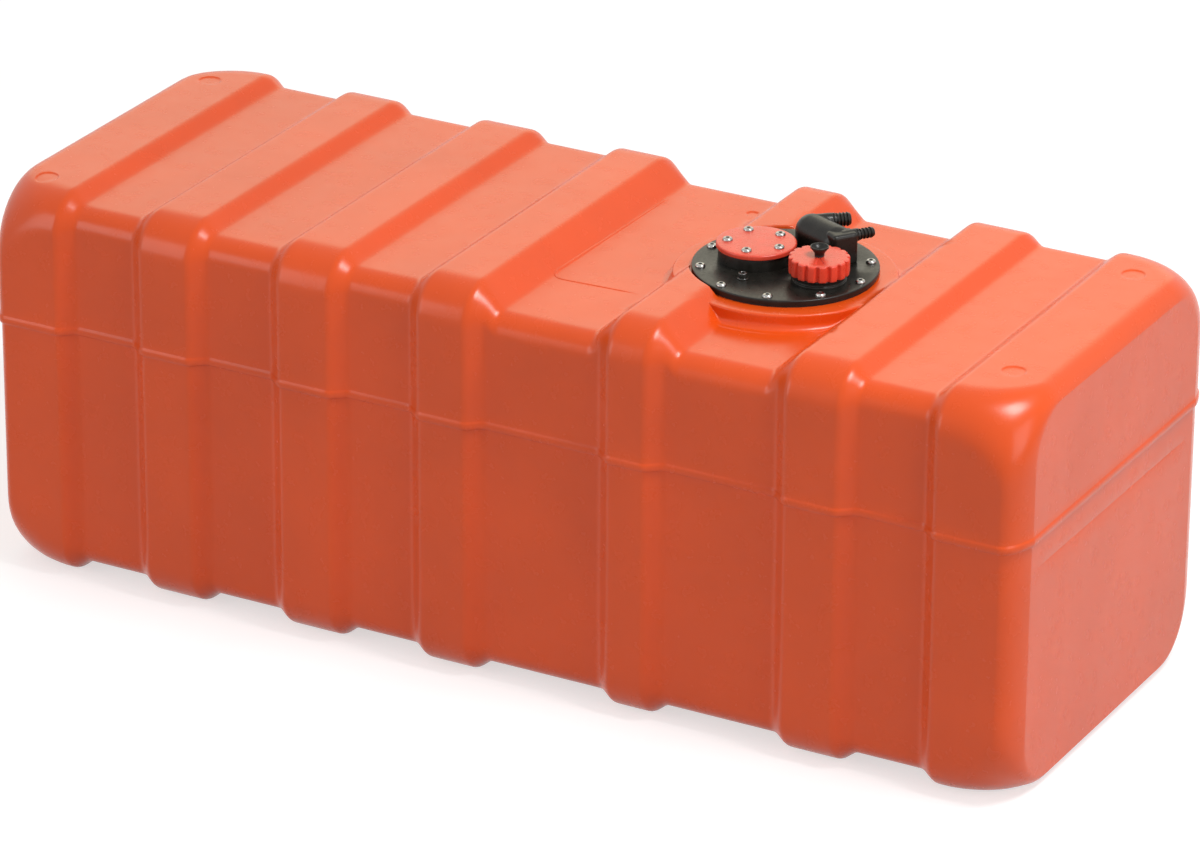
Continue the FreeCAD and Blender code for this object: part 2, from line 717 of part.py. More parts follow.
def flange_inserts():
    """Brass inserts in the collar, one under each flange screw."""
    return [threaded_insert(place, INSERT_RADIUS, PLATFORM, INSERT_LENGTH)
            for place in FLANGE_SCREW_PLACES]


def flange_gasket():
    """Flat rubber ring between the collar and the plate."""
    sheet = ring(COLLAR_CENTRE, PLATE_RADIUS - GASKET_EDGE_SETBACK, COLLAR_HOLE_RADIUS,
                 PLATFORM, PLATE_BOTTOM)
    holes = [cylinder(place, SCREW_HOLE_RADIUS, PLATFORM - CUT_MARGIN, PLATE_BOTTOM + CUT_MARGIN)
             for place in FLANGE_SCREW_PLACES]
    return sheet.cut(holes)


def flange_plate():
    """Round plate with the sender boss and the filler neck moulded on it."""
    edge = PLATE_EDGE_ROUND
    disc = turned([
        (0, PLATE_BOTTOM),
        (PLATE_RADIUS, PLATE_BOTTOM),
        (PLATE_RADIUS, PLATE_TOP - edge),
        rounded(edge, PLATE_RADIUS - edge, PLATE_TOP - edge, 0, 90),
        (0, PLATE_TOP),
    ], COLLAR_CENTRE)
    buried = PLATE_TOP - PLATE_THICKNESS / 2
    sender_boss = cylinder(SENDER, SENDER_BOSS_RADIUS, buried, SENDER_RIM)
    bead_top = PLATE_TOP + NECK_BEAD_HEIGHT
    neck = turned([
        (0, buried),
        (NECK_BEAD_RADIUS, buried),
        (NECK_BEAD_RADIUS, bead_top - edge),
        rounded(edge, NECK_BEAD_RADIUS - edge, bead_top - edge, 0, 90),
        (NECK_RADIUS, bead_top),
        (NECK_RADIUS, NECK_RIM),
        (0, NECK_RIM),
    ], FILLER)
    plate = disc.multiFuse([sender_boss, neck])
    below = PLATE_BOTTOM - CUT_MARGIN
    above = PLATE_TOP + CUT_MARGIN
    cuts = [
        cylinder(SENDER, SENDER_BORE_RADIUS, below, SENDER_RIM + CUT_MARGIN),
        cylinder(FILLER, NECK_BORE_RADIUS, below, NECK_RIM + CUT_MARGIN),
        cylinder(PICKUP, FEED_STEM_RADIUS + STEM_CLEARANCE, below, above),
        cylinder(RETURN, RETURN_STEM_RADIUS + STEM_CLEARANCE, below, above),
        cylinder(BONDING, SCREW_HOLE_RADIUS, below, above),
    ]
    for place in FLANGE_SCREW_PLACES:
        cuts.append(cylinder(place, SCREW_HOLE_RADIUS, below, above))
    for place in SENDER_SCREW_PLACES:
        cuts.append(cylinder(place, SENDER_INSERT_RADIUS + INSERT_FIT,
                             SENDER_RIM - SENDER_INSERT_LENGTH, SENDER_RIM + CUT_MARGIN))
    return plate.cut(cuts)


def flange_screws():
    """Ten screws that hold the plate on the collar."""
    return [button_screw(place, PLATE_TOP, FLANGE_SCREW_LENGTH)
            for place in FLANGE_SCREW_PLACES]


def sender_inserts():
    """Brass inserts in the sender boss."""
    return [threaded_insert(place, SENDER_INSERT_RADIUS, SENDER_RIM, SENDER_INSERT_LENGTH)
            for place in SENDER_SCREW_PLACES]


def sender_gasket():
    """Thin rubber ring under the sender cover."""
    sheet = ring(SENDER, SENDER_BOSS_RADIUS, SENDER_BORE_RADIUS, SENDER_RIM, SENDER_COVER_BOTTOM)
    holes = [cylinder(place, SCREW_HOLE_RADIUS, SENDER_RIM - CUT_MARGIN,
                      SENDER_COVER_BOTTOM + CUT_MARGIN) for place in SENDER_SCREW_PLACES]
    return sheet.cut(holes)


def sender_cover():
    """Round blank cover over the sender port."""
    edge = SENDER_COVER_ROUND
    disc = turned([
        (0, SENDER_COVER_BOTTOM),
        (SENDER_COVER_RADIUS, SENDER_COVER_BOTTOM),
        (SENDER_COVER_RADIUS, SENDER_COVER_TOP - edge),
        rounded(edge, SENDER_COVER_RADIUS - edge, SENDER_COVER_TOP - edge, 0, 90),
        (0, SENDER_COVER_TOP),
    ], SENDER)
    holes = [cylinder(place, SCREW_HOLE_RADIUS, SENDER_COVER_BOTTOM - CUT_MARGIN,
                      SENDER_COVER_TOP + CUT_MARGIN) for place in SENDER_SCREW_PLACES]
    return disc.cut(holes)


def sender_screws():
    """Five screws that hold the sender cover."""
    return [button_screw(place, SENDER_COVER_TOP, SENDER_SCREW_LENGTH)
            for place in SENDER_SCREW_PLACES]


def cap_groove():
    """Wedge cut in the top of the cap, from the vent screw towards the rim."""
    reach = CAP_GROOVE_END_RADIUS
    points = [Vector(FILLER[0], FILLER[1], CAP_TOP - CAP_GROOVE_DEPTH)]
    for side in (-1, 1):
        angle = math.radians(CAP_GROOVE_ANGLE + side * CAP_GROOVE_SPREAD)
        points.append(Vector(FILLER[0] + reach * math.cos(angle),
                             FILLER[1] + reach * math.sin(angle),
                             CAP_TOP - CAP_GROOVE_DEPTH))
    wedge = Part.Face(Part.makePolygon(points + points[:1]))
    wedge = wedge.extrude(Vector(0, 0, CAP_GROOVE_DEPTH + CUT_MARGIN))
    return wedge.cut(cylinder(FILLER, VENT_BOSS_RADIUS, CAP_CEILING, CAP_TOP + 2 * CUT_MARGIN))


def filler_cap():
    """Fluted screw cap with a middle boss for the vent screw."""
    skirt_bottom = CAP_TOP - CAP_HEIGHT
    bore = NECK_RADIUS + CAP_THREAD_CLEARANCE
    edge = CAP_EDGE_ROUND
    boss_bottom = CAP_CEILING - VENT_BOSS_DEPTH
    cap = turned([
        (bore, skirt_bottom),
        (CAP_RADIUS, skirt_bottom),
        (CAP_RADIUS, CAP_TOP - edge),
        rounded(edge, CAP_RADIUS - edge, CAP_TOP - edge, 0, 90),
        (VENT_SHANK_RADIUS + THREAD_CLEARANCE, CAP_TOP),
        (VENT_SHANK_RADIUS + THREAD_CLEARANCE, boss_bottom),
        (VENT_BOSS_RADIUS, boss_bottom),
        (VENT_BOSS_RADIUS, CAP_CEILING),
        (bore, CAP_CEILING),
    ], FILLER)
    flute_circle = CAP_RADIUS + CAP_FLUTE_RADIUS - CAP_FLUTE_DEPTH
    flutes = [cylinder(place, CAP_FLUTE_RADIUS, skirt_bottom - CUT_MARGIN, CAP_TOP + CUT_MARGIN)
              for place in circle_places(FILLER, flute_circle, CAP_FLUTE_COUNT, 0)]
    return cap.cut(flutes + [cap_groove()])


def cap_gasket():
    """Rubber ring in the cap that closes on the rim of the neck."""
    return ring(FILLER, NECK_RADIUS - CAP_GASKET_SETBACK, NECK_BORE_RADIUS, NECK_RIM, CAP_CEILING)


def vent_seal():
    """Small rubber ring under the knob of the vent screw."""
    return ring(FILLER, VENT_SEAL_RADIUS, VENT_SHANK_RADIUS + THREAD_CLEARANCE,
                CAP_TOP, VENT_KNOB_FOOT)


def vent_screw():
    """Vent screw with a knob that widens upwards."""
    tip = CAP_CEILING - VENT_BOSS_DEPTH - VENT_SHANK_REACH
    knob_top = VENT_KNOB_FOOT + VENT_KNOB_HEIGHT
    return turned([
        (0, tip),
        (VENT_SHANK_RADIUS, tip),
        (VENT_SHANK_RADIUS, VENT_KNOB_FOOT),
        (VENT_KNOB_FOOT_RADIUS, VENT_KNOB_FOOT),
        (VENT_KNOB_RADIUS, knob_top - VENT_KNOB_BAND),
        (VENT_KNOB_RADIUS, knob_top),
        (0, knob_top),
    ], FILLER)


def dome_and_bridge():
    """Domed feed side and the bridge to the return side, down to the plate."""
    angle = math.radians(PICKUP_BRIDGE_ANGLE)
    along = Vector(math.cos(angle), math.sin(angle), 0)
    across = Vector(-along.y, along.x, 0) * PICKUP_DOME_RADIUS
    start = Vector(PICKUP[0], PICKUP[1], PLATE_TOP + PICKUP_HEIGHT - PICKUP_DOME_RADIUS)
    stop = start + along * PICKUP_BRIDGE_LENGTH
    tail = start - along * PICKUP_DOME_RADIUS
    head = stop + along * PICKUP_DOME_RADIUS
    lean = math.radians(45)
    first_bend = start - along * PICKUP_DOME_RADIUS * math.cos(lean) + across * math.sin(lean)
    last_bend = stop + along * PICKUP_DOME_RADIUS * math.cos(lean) + across * math.sin(lean)
    half = [
        Part.Arc(tail, first_bend, start + across).toShape(),
        Part.LineSegment(start + across, stop + across).toShape(),
        Part.Arc(stop + across, last_bend, head).toShape(),
    ]
    profile = Part.Face(Part.Wire(half + [Part.LineSegment(head, tail).toShape()]))
    roof = profile.revolve(start, along, -180)
    if roof.BoundBox.ZMin < start.z - CUT_MARGIN:
        roof = profile.revolve(start, along, 180)
    outline = half + [
        Part.Arc(head, stop + across * -math.sin(lean) + along * PICKUP_DOME_RADIUS * math.cos(lean),
                 stop - across).toShape(),
        Part.LineSegment(stop - across, start - across).toShape(),
        Part.Arc(start - across, start + across * -math.sin(lean)
                 - along * PICKUP_DOME_RADIUS * math.cos(lean), tail).toShape(),
    ]
    skirt = Part.Face(Part.Wire(outline)).extrude(Vector(0, 0, PLATE_TOP - start.z))
    return roof, skirt


def return_block():
    """Rounded block of the return side, lined up with its hose barb."""
    block = Part.makeBox(RETURN_BLOCK_LENGTH, RETURN_BLOCK_WIDTH, RETURN_BLOCK_HEIGHT,
                         Vector(-RETURN_BLOCK_LENGTH / 2, -RETURN_BLOCK_WIDTH / 2, 0))
    soft_edges = [edge for edge in block.Edges
                  if edge.BoundBox.ZMax > RETURN_BLOCK_HEIGHT / 2]
    block = block.makeFillet(RETURN_BLOCK_ROUND, soft_edges)
    block.rotate(Vector(0, 0, 0), Z_AXIS, RETURN_BLOCK_ANGLE)
    block.translate(Vector(RETURN[0], RETURN[1], PLATE_TOP))
    return block


def seal_ring(place, stem_radius, clearance):
    """Flat seal ring round a stem, or the groove for it with a clearance."""
    inner = stem_radius + SEAL_FROM_STEM
    return ring(place, inner + SEAL_WIDTH + clearance, inner - clearance,
                PLATE_TOP, PLATE_TOP + SEAL_THICKNESS)


def pickup_body():
    """Body of the fuel fitting with its stems, passages and valve chamber."""
    roof, skirt = dome_and_bridge()
    feed_level = PLATE_TOP + FEED_BARB_HEIGHT
    return_level = PLATE_TOP + RETURN_BARB_HEIGHT
    body = roof.multiFuse([
        skirt,
        return_block(),
        flat_bore(PICKUP, feed_level, FEED_BARB_ANGLE, FEED_BOSS_RADIUS, FEED_BOSS_REACH),
        flat_bore(RETURN, return_level, RETURN_BLOCK_ANGLE, RETURN_BOSS_RADIUS,
                  RETURN_BOSS_REACH),
        cylinder(PICKUP, FEED_STEM_RADIUS, FEED_STEM_BOTTOM, PLATE_TOP + CUT_MARGIN),
        cylinder(RETURN, RETURN_STEM_RADIUS, RETURN_STEM_BOTTOM, PLATE_TOP + CUT_MARGIN),
    ])
    cuts = [
        cylinder(PICKUP, FEED_TUBE_RADIUS + TUBE_FIT, FEED_STEM_BOTTOM - CUT_MARGIN,
                 FEED_STEM_BOTTOM + TUBE_SOCKET_DEPTH),
        cylinder(PICKUP, FEED_BORE_RADIUS, FEED_STEM_BOTTOM, feed_level),
        cylinder(PICKUP, VALVE_CHAMBER_RADIUS, VALVE_CHAMBER_BOTTOM, VALVE_CHAMBER_TOP),
        flat_bore(PICKUP, feed_level, FEED_BARB_ANGLE, FEED_BORE_RADIUS, FEED_BOSS_REACH),
        at_feed_face(barb_socket(FEED_SPIGOT_RADIUS, FEED_SPIGOT_LENGTH)),
        cylinder(RETURN, RETURN_TUBE_RADIUS + TUBE_FIT, RETURN_STEM_BOTTOM - CUT_MARGIN,
                 RETURN_STEM_BOTTOM + TUBE_SOCKET_DEPTH),
        cylinder(RETURN, RETURN_BORE_RADIUS, RETURN_STEM_BOTTOM, return_level),
        flat_bore(RETURN, return_level, RETURN_BLOCK_ANGLE, RETURN_BORE_RADIUS,
                  RETURN_BOSS_REACH),
        at_return_face(barb_socket(RETURN_SPIGOT_RADIUS, RETURN_SPIGOT_LENGTH)),
        seal_ring(PICKUP, FEED_STEM_RADIUS, SEAL_GROOVE_CLEARANCE),
        seal_ring(RETURN, RETURN_STEM_RADIUS, SEAL_GROOVE_CLEARANCE),
    ]
    return body.cut(cuts)


def hose_barb(bore, spigot, spigot_length, collar_radius, root, crest, tail, crests):
    """Hose barb along Z: spigot below zero, then collar, then ringed tail."""
    collar_top = BARB_COLLAR_LENGTH
    profile = [
        (bore, -spigot_length),
        (spigot, -spigot_length),
        (spigot, 0),
        (collar_radius, 0),
        (collar_radius, collar_top),
        (root, collar_top),
    ]
    neck = tail / (2 * crests)
    pitch = (tail - neck) / crests
    foot = collar_top + neck
    profile.append((root, foot))
    for step in range(crests):
        profile.append((crest, foot + step * pitch))
        profile.append((root, foot + (step + 1) * pitch))
    profile.append((bore, collar_top + tail))
    return turned(profile)


def barb_socket(spigot, spigot_length):
    """Cut for a barb's spigot, with room for the seal ring at its mouth."""
    socket = cylinder((0, 0), spigot + SPIGOT_FIT, -spigot_length, CUT_MARGIN)
    mouth = cylinder((0, 0), spigot + SPIGOT_FIT + BARB_SEAL_WIDTH + BARB_SEAL_CLEARANCE,
                     -BARB_SEAL_THICKNESS, CUT_MARGIN)
    return socket.fuse(mouth)


def at_feed_face(solid):
    """Move a solid made along Z to the mouth of the feed boss."""
    solid.translate(Vector(0, 0, FEED_BOSS_REACH))
    return laid_along(solid, PICKUP, PLATE_TOP + FEED_BARB_HEIGHT, FEED_BARB_ANGLE)


def at_return_face(solid):
    """Move a solid made along Z to the mouth of the return block."""
    solid.translate(Vector(0, 0, RETURN_BOSS_REACH))
    return laid_along(solid, RETURN, PLATE_TOP + RETURN_BARB_HEIGHT, RETURN_BLOCK_ANGLE)


def feed_barb():
    """Larger hose barb, for the line to the engine."""
    return at_feed_face(hose_barb(FEED_BORE_RADIUS, FEED_SPIGOT_RADIUS, FEED_SPIGOT_LENGTH,
                                  FEED_COLLAR_RADIUS, FEED_ROOT_RADIUS, FEED_CREST_RADIUS,
                                  FEED_TAIL_LENGTH, FEED_CREST_COUNT))


def return_barb():
    """Smaller hose barb, for the line back from the engine."""
    return at_return_face(hose_barb(RETURN_BORE_RADIUS, RETURN_SPIGOT_RADIUS,
                                    RETURN_SPIGOT_LENGTH, RETURN_COLLAR_RADIUS,
                                    RETURN_ROOT_RADIUS, RETURN_CREST_RADIUS,
                                    RETURN_TAIL_LENGTH, RETURN_CREST_COUNT))


def barb_seal(spigot):
    """Thin seal ring round a barb's spigot, sunk in the mouth of its socket."""
    inner = spigot + SPIGOT_FIT
    return ring((0, 0), inner + BARB_SEAL_WIDTH, inner, -BARB_SEAL_THICKNESS, 0)


def lock_nut():
    """Six sided nut that clamps the fitting from under the plate."""
    nut = hexagon(PICKUP, LOCK_NUT_FLATS, PLATE_BOTTOM - LOCK_NUT_HEIGHT, PLATE_BOTTOM)
    bore = cylinder(PICKUP, FEED_STEM_RADIUS + THREAD_CLEARANCE,
                    PLATE_BOTTOM - LOCK_NUT_HEIGHT - CUT_MARGIN, PLATE_BOTTOM + CUT_MARGIN)
    return nut.cut(bore)


def pickup_tube():
    """Long tube from the fitting down into the strainer."""
    bottom = STRAINER_BOTTOM + STRAINER_HEIGHT - STRAINER_COLLAR_HEIGHT
    return ring(PICKUP, FEED_TUBE_RADIUS, FEED_TUBE_BORE_RADIUS, bottom,
                FEED_STEM_BOTTOM + TUBE_SOCKET_DEPTH)


def pickup_strainer():
    """Slotted cage at the foot of the pickup tube."""
    top = STRAINER_BOTTOM + STRAINER_HEIGHT
    slot_top = top - STRAINER_COLLAR_HEIGHT - STRAINER_WALL
    slot_bottom = STRAINER_BOTTOM + 2 * STRAINER_WALL
    socket = FEED_TUBE_RADIUS + TUBE_FIT
    cage = turned([
        (0, STRAINER_BOTTOM),
        (STRAINER_RADIUS, STRAINER_BOTTOM),
        (STRAINER_RADIUS, top),
        (socket, top),
        (socket, top - STRAINER_COLLAR_HEIGHT),
        (FEED_TUBE_BORE_RADIUS, top - STRAINER_COLLAR_HEIGHT),
        (FEED_TUBE_BORE_RADIUS, slot_top),
        (STRAINER_RADIUS - STRAINER_WALL, slot_top),
        (STRAINER_RADIUS - STRAINER_WALL, STRAINER_BOTTOM + STRAINER_WALL),
        (0, STRAINER_BOTTOM + STRAINER_WALL),
    ], PICKUP)
    slots = []
    for step in range(STRAINER_SLOT_COUNT // 2):
        slot = Part.makeBox(2 * STRAINER_RADIUS + 2 * CUT_MARGIN, STRAINER_SLOT_WIDTH,
                            slot_top - slot_bottom - STRAINER_WALL,
                            Vector(-STRAINER_RADIUS - CUT_MARGIN, -STRAINER_SLOT_WIDTH / 2,
                                   slot_bottom))
        slot.rotate(Vector(0, 0, 0), Z_AXIS, 360.0 * step / STRAINER_SLOT_COUNT)
        slot.translate(Vector(PICKUP[0], PICKUP[1], 0))
        slots.append(slot)
    return cage.cut(slots)


def return_tube():
    """Short tube that lets returned fuel fall into the tank."""
    top = RETURN_STEM_BOTTOM + TUBE_SOCKET_DEPTH
    return ring(RETURN, RETURN_TUBE_RADIUS, RETURN_TUBE_BORE_RADIUS,
                RETURN_STEM_BOTTOM - RETURN_TUBE_DROP, top)


def valve_seat():
    """Ring that the valve ball closes on."""
    return ring(PICKUP, VALVE_CHAMBER_RADIUS - VALVE_SEAT_FIT, VALVE_SEAT_BORE_RADIUS,
                VALVE_CHAMBER_BOTTOM, VALVE_SEAT_TOP)


def valve_ball():
    """Ball that stops fuel from running back or siphoning out."""
    return Part.makeSphere(VALVE_BALL_RADIUS, Vector(PICKUP[0], PICKUP[1], VALVE_BALL_Z))


def valve_spring():
    """Light coil spring that holds the ball on its seat."""
    contact = math.sqrt(VALVE_BALL_RADIUS ** 2 - VALVE_SPRING_RADIUS ** 2)
    lift = VALVE_WIRE_RADIUS + VALVE_SPRING_CLEARANCE
    stand_off = lift * VALVE_BALL_RADIUS / contact
    bottom = VALVE_BALL_Z + contact + stand_off
    height = VALVE_CHAMBER_TOP - lift - bottom
    spring = coil(VALVE_SPRING_RADIUS, height / VALVE_SPRING_TURNS, VALVE_SPRING_TURNS,
                  VALVE_WIRE_RADIUS)
    spring.translate(Vector(PICKUP[0], PICKUP[1], bottom))
    return spring


def bonding_screw():
    """Socket head screw for the earth lead, with a collar under its head."""
    seat = PLATE_TOP + BONDING_COLLAR_THICKNESS
    top = seat + BONDING_HEAD_HEIGHT
    screw = turned([
        (0, PLATE_TOP - BONDING_SCREW_LENGTH),
        (SCREW_SHANK_RADIUS, PLATE_TOP - BONDING_SCREW_LENGTH),
        (SCREW_SHANK_RADIUS, PLATE_TOP),
        (BONDING_COLLAR_RADIUS, PLATE_TOP),
        (BONDING_COLLAR_RADIUS, seat),
        (BONDING_HEAD_RADIUS, seat),
        (BONDING_HEAD_RADIUS, top),
        (0, top),
    ], BONDING)
    return screw.cut(hexagon(BONDING, BONDING_KEY_SIZE, top - BONDING_KEY_DEPTH, top + CUT_MARGIN))


def bonding_washer():
    """Washer between the plate and the bonding nut."""
    return ring(BONDING, BONDING_COLLAR_RADIUS, SCREW_HOLE_RADIUS,
                PLATE_BOTTOM - BONDING_WASHER_THICKNESS, PLATE_BOTTOM)


def bonding_nut():
    """Nut of the bonding screw, under the plate."""
    top = PLATE_BOTTOM - BONDING_WASHER_THICKNESS
    nut = hexagon(BONDING, BONDING_NUT_FLATS, top - BONDING_NUT_HEIGHT, top)
    return nut.cut(cylinder(BONDING, THREAD_RADIUS, top - BONDING_NUT_HEIGHT - CUT_MARGIN,
                            top + CUT_MARGIN))


def solids_of(shape):
    """One shape with outward facing solids, from a solid or a list of them."""
    pieces = shape if isinstance(shape, list) else [shape]
    solids = []
    for piece in pieces:
        for solid in piece.Solids:
            if solid.Volume < 0:
                solid.reverse()
            solids.append(solid)
    return solids[0] if len(solids) == 1 else Part.makeCompound(solids)


NODES = {
    "tank_shell": tank_shell,
    "flange_inserts": flange_inserts,
    "flange_gasket": flange_gasket,
    "flange_plate": flange_plate,
    "flange_screws": flange_screws,
    "sender_inserts": sender_inserts,
    "sender_gasket": sender_gasket,
    "sender_cover": sender_cover,
    "sender_screws": sender_screws,
    "filler_cap": filler_cap,
    "cap_gasket": cap_gasket,
    "vent_seal": vent_seal,
    "vent_screw": vent_screw,
    "pickup_body": pickup_body,
    "pickup_seal": lambda: seal_ring(PICKUP, FEED_STEM_RADIUS, 0.0),
    "return_seal": lambda: seal_ring(RETURN, RETURN_STEM_RADIUS, 0.0),
    "feed_barb": feed_barb,
    "return_barb": return_barb,
    "feed_barb_seal": lambda: at_feed_face(barb_seal(FEED_SPIGOT_RADIUS)),
    "return_barb_seal": lambda: at_return_face(barb_seal(RETURN_SPIGOT_RADIUS)),
    "lock_nut": lock_nut,
    "pickup_tube": pickup_tube,
    "pickup_strainer": pickup_strainer,
    "return_tube": return_tube,
    "valve_seat": valve_seat,
    "valve_ball": valve_ball,
    "valve_spring": valve_spring,
    "bonding_screw": bonding_screw,
    "bonding_washer": bonding_washer,
    "bonding_nut": bonding_nut,
}

os.makedirs("parts", exist_ok=True)
for name, make in NODES.items():
    node = solids_of(make())
    node.exportStep(f"parts/{name}.step")
    box = node.BoundBox
    print(f"{name}: {len(node.Solids)} solids, {node.Volume / 1000:.2f} cm3, "
          f"valid {node.isValid()}, z {box.ZMin:.2f} to {box.ZMax:.2f}")
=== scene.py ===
"""Looks of a marine fuel tank and of the fittings on its flange plate.

The file is laid out as an add-on and is run as a script. Shapes are worked out in
millimetres and become metres when a mesh is made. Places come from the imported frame.
"""

import functools
import json
import math

import bmesh
import bpy
import numpy as np
from mathutils import Matrix, Vector


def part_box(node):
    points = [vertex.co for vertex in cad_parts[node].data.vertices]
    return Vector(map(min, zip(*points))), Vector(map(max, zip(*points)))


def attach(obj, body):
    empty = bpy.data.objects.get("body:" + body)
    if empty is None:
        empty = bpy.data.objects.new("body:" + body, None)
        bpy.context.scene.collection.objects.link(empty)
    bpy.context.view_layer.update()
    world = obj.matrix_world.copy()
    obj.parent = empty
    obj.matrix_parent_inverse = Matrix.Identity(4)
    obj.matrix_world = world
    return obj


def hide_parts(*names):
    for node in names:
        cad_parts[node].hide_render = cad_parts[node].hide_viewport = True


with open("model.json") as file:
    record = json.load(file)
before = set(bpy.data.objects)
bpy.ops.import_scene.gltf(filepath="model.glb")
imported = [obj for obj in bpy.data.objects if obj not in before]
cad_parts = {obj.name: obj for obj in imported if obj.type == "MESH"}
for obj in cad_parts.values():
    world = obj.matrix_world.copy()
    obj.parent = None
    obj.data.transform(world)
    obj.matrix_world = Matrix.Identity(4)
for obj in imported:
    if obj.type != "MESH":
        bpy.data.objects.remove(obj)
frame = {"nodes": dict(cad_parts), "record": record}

bl_info = {
    "name": "Marine fuel tank",
    "version": (1, 0, 0),
    "blender": (4, 5, 0),
    "location": "3D View > Sidebar > Fuel tank",
    "description": "Builds the moulded tank, its fittings, their finishes and the studio",
    "category": "Object",
}

MM = 0.001
LOOK = "_look"

# Lengths of the tank's bands and recesses from the left end, in millimetres
ZONE_LENGTHS = (80, 95, 53, 100, 55, 97, 50, 151, 39, 144, 54, 98, 84)
LOW_ZONES = (7, 9)

# Steps of the tank's mesh
END_STEPS = 22
END_CORNER_STEPS = 16
END_CREASE = 0.88
CORNER_STEPS = 12
FLANK_STEP = 1.6
PLAIN_STEP = 8.0
MIDDLE_HALF = 130.0
MIDDLE_STEPS = 80
SHOULDER_STEPS = 10
USUAL_FLAT = 170.0
UPPER_ROWS = 9
LOWER_ROWS = 10

# Outward shift of the side by height over the seam's middle
SEAM_PROFILE = ((-6.0, -1.5), (-5.0, -1.4), (-4.2, -0.9), (-3.4, 0.8), (-2.4, 1.4), (0.0, 1.5),
                (2.4, 1.4), (3.4, 0.9), (4.2, 0.2), (5.0, 0.0))

# Faint second line on the end faces, by height over its middle
CREASE_BELOW_SEAM = 32.0
CREASE_PROFILE = ((-2.4, 0.0), (-1.0, -0.3), (0.0, -0.6), (1.0, -0.3), (2.4, 0.0))
CREASE_FADE = (140.0, 168.0)

# Collar under the flange plate
COLLAR_RADIUS = 106.0
COLLAR_FLARE = 8.0
COLLAR_LIP = 2.0
PLATFORM_LEVEL = 391.5
POCKET_RADIUS = 90.0
COLLAR_HOLE = 70.0
COLLAR_BLEND = 2.5

# Round mould marks and the dimple: place, radius and depth
MOULD_MARKS = ((-510.0, 135.0), (-510.0, -160.0), (500.0, 135.0), (500.0, -123.0))
MARK_RADIUS = 11.0
MARK_DEPTH = 1.0
DIMPLE = (96.5, 144.0)
DIMPLE_RADIUS = 6.0

# Border of the plain panel on the wide recess: line of its left and front sides, and the bead
PANEL_BORDER = ((7.4, 143.4), (3.8, -88.6), (94.8, -83.4))
PANEL_CORNER = 16.0
PANEL_BEAD = ((-1.5, -0.6), (1.5, -0.6), (1.3, 0.1), (0.7, 0.45), (0.0, 0.6), (-0.7, 0.45),
              (-1.3, 0.1))

# Fittings on the flange plate
PLATE_THICKNESS = 5.0
FLANGE_SCREW_CIRCLE = 80.0
SENDER_SCREW_CIRCLE = 27.0
SENDER_BORE = 20.0
SENDER_BOSS = 36.0
NECK_BORE = 19.0
NECK_RADIUS = 24.4
NECK_BEAD = 26.0
THREAD_PITCH = 3.0
FEED_HOLE = 9.05
RETURN_HOLE = 5.05
SCREW_HOLE = 2.8
KEY_DEPTH = 3.6
SCREW_HEAD = (4.9, 2.75, 1.7, 2.5)
CAP_RADIUS = 28.6
CAP_FLUTES = 16
DOME_RADIUS = 16.0
BRIDGE_LENGTH = 34.9
BRIDGE_ANGLE = math.radians(-23.6)
FEED_ANGLE = math.radians(43)
FEED_LEVEL = 25.0
FEED_REACH = 19.8
RETURN_ANGLE = math.radians(55)
RETURN_LEVEL = 24.5
RETURN_REACH = 15.0


@functools.lru_cache(maxsize=None)
def node_box(node):
    """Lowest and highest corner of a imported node, in millimetres."""
    low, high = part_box(node)
    return np.array(low) / MM, np.array(high) / MM


def node_centre(node):
    """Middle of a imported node's box, in millimetres."""
    low, high = node_box(node)
    return (low + high) / 2


def smooth_step(share):
    """Eased share from 0 to 1."""
    share = np.clip(share, 0.0, 1.0)
    return share * share * (3 - 2 * share)


def soft_max(first, second, blend):
    """Larger of two heights, with a rounded change from one to the other."""
    mix = np.maximum(blend - np.abs(first - second), 0.0)
    return np.maximum(first, second) + mix * mix / (4 * blend)


def soft_min(first, second, blend):
    """Smaller of two heights, with a rounded change from one to the other."""
    return -soft_max(-first, -second, blend)


def soft_ramp(distance, run, soft):
    """Share of a straight flank that is done at a distance, with both its edges rounded."""
    def area(reach):
        rising = reach * reach / (2 * run)
        return np.where(reach <= 0, 0.0, np.where(reach >= run, reach - run / 2, rising))
    return (area(distance + soft) - area(distance - soft)) / (2 * soft)


def soft_outline(corners, fillet=0.4, steps=4):
    """Section of (radius, height) or (radius, height, fillet) corners, with each one rounded."""
    points = [np.array(corner[:2], float) for corner in corners]
    rounds = [corner[2] if len(corner) > 2 else fillet for corner in corners]
    outline = []
    for index, point in enumerate(points):
        before = points[index - 1] - point
        after = points[(index + 1) % len(points)] - point
        lengths = np.linalg.norm(before), np.linalg.norm(after)
        if point[0] <= 0.0 or rounds[index] <= 0.0:
            outline.append(point)
            continue
        before, after = before / lengths[0], after / lengths[1]
        half = math.acos(float(np.clip(before @ after, -1, 1))) / 2
        if half > math.radians(88):
            outline.append(point)
            continue
        reach = min(rounds[index] / math.tan(half), 0.45 * min(lengths))
        radius = reach * math.tan(half)
        way = (before + after) / np.linalg.norm(before + after)
        middle = point + way * radius / math.sin(half)
        first, last = point + before * reach - middle, point + after * reach - middle
        turn = math.atan2(first[0] * last[1] - first[1] * last[0], first @ last)
        for step in range(steps + 1):
            angle = turn * step / steps
            cosine, sine = math.cos(angle), math.sin(angle)
            outline.append(middle + np.array((first[0] * cosine - first[1] * sine,
                                              first[0] * sine + first[1] * cosine)))
    return outline


def ring_faces(lower, upper):
    """Quads between two closed rings of as many points."""
    turned = [(*ring[1:], ring[0]) for ring in (lower, upper)]
    return list(zip(lower, turned[0], turned[1], upper))


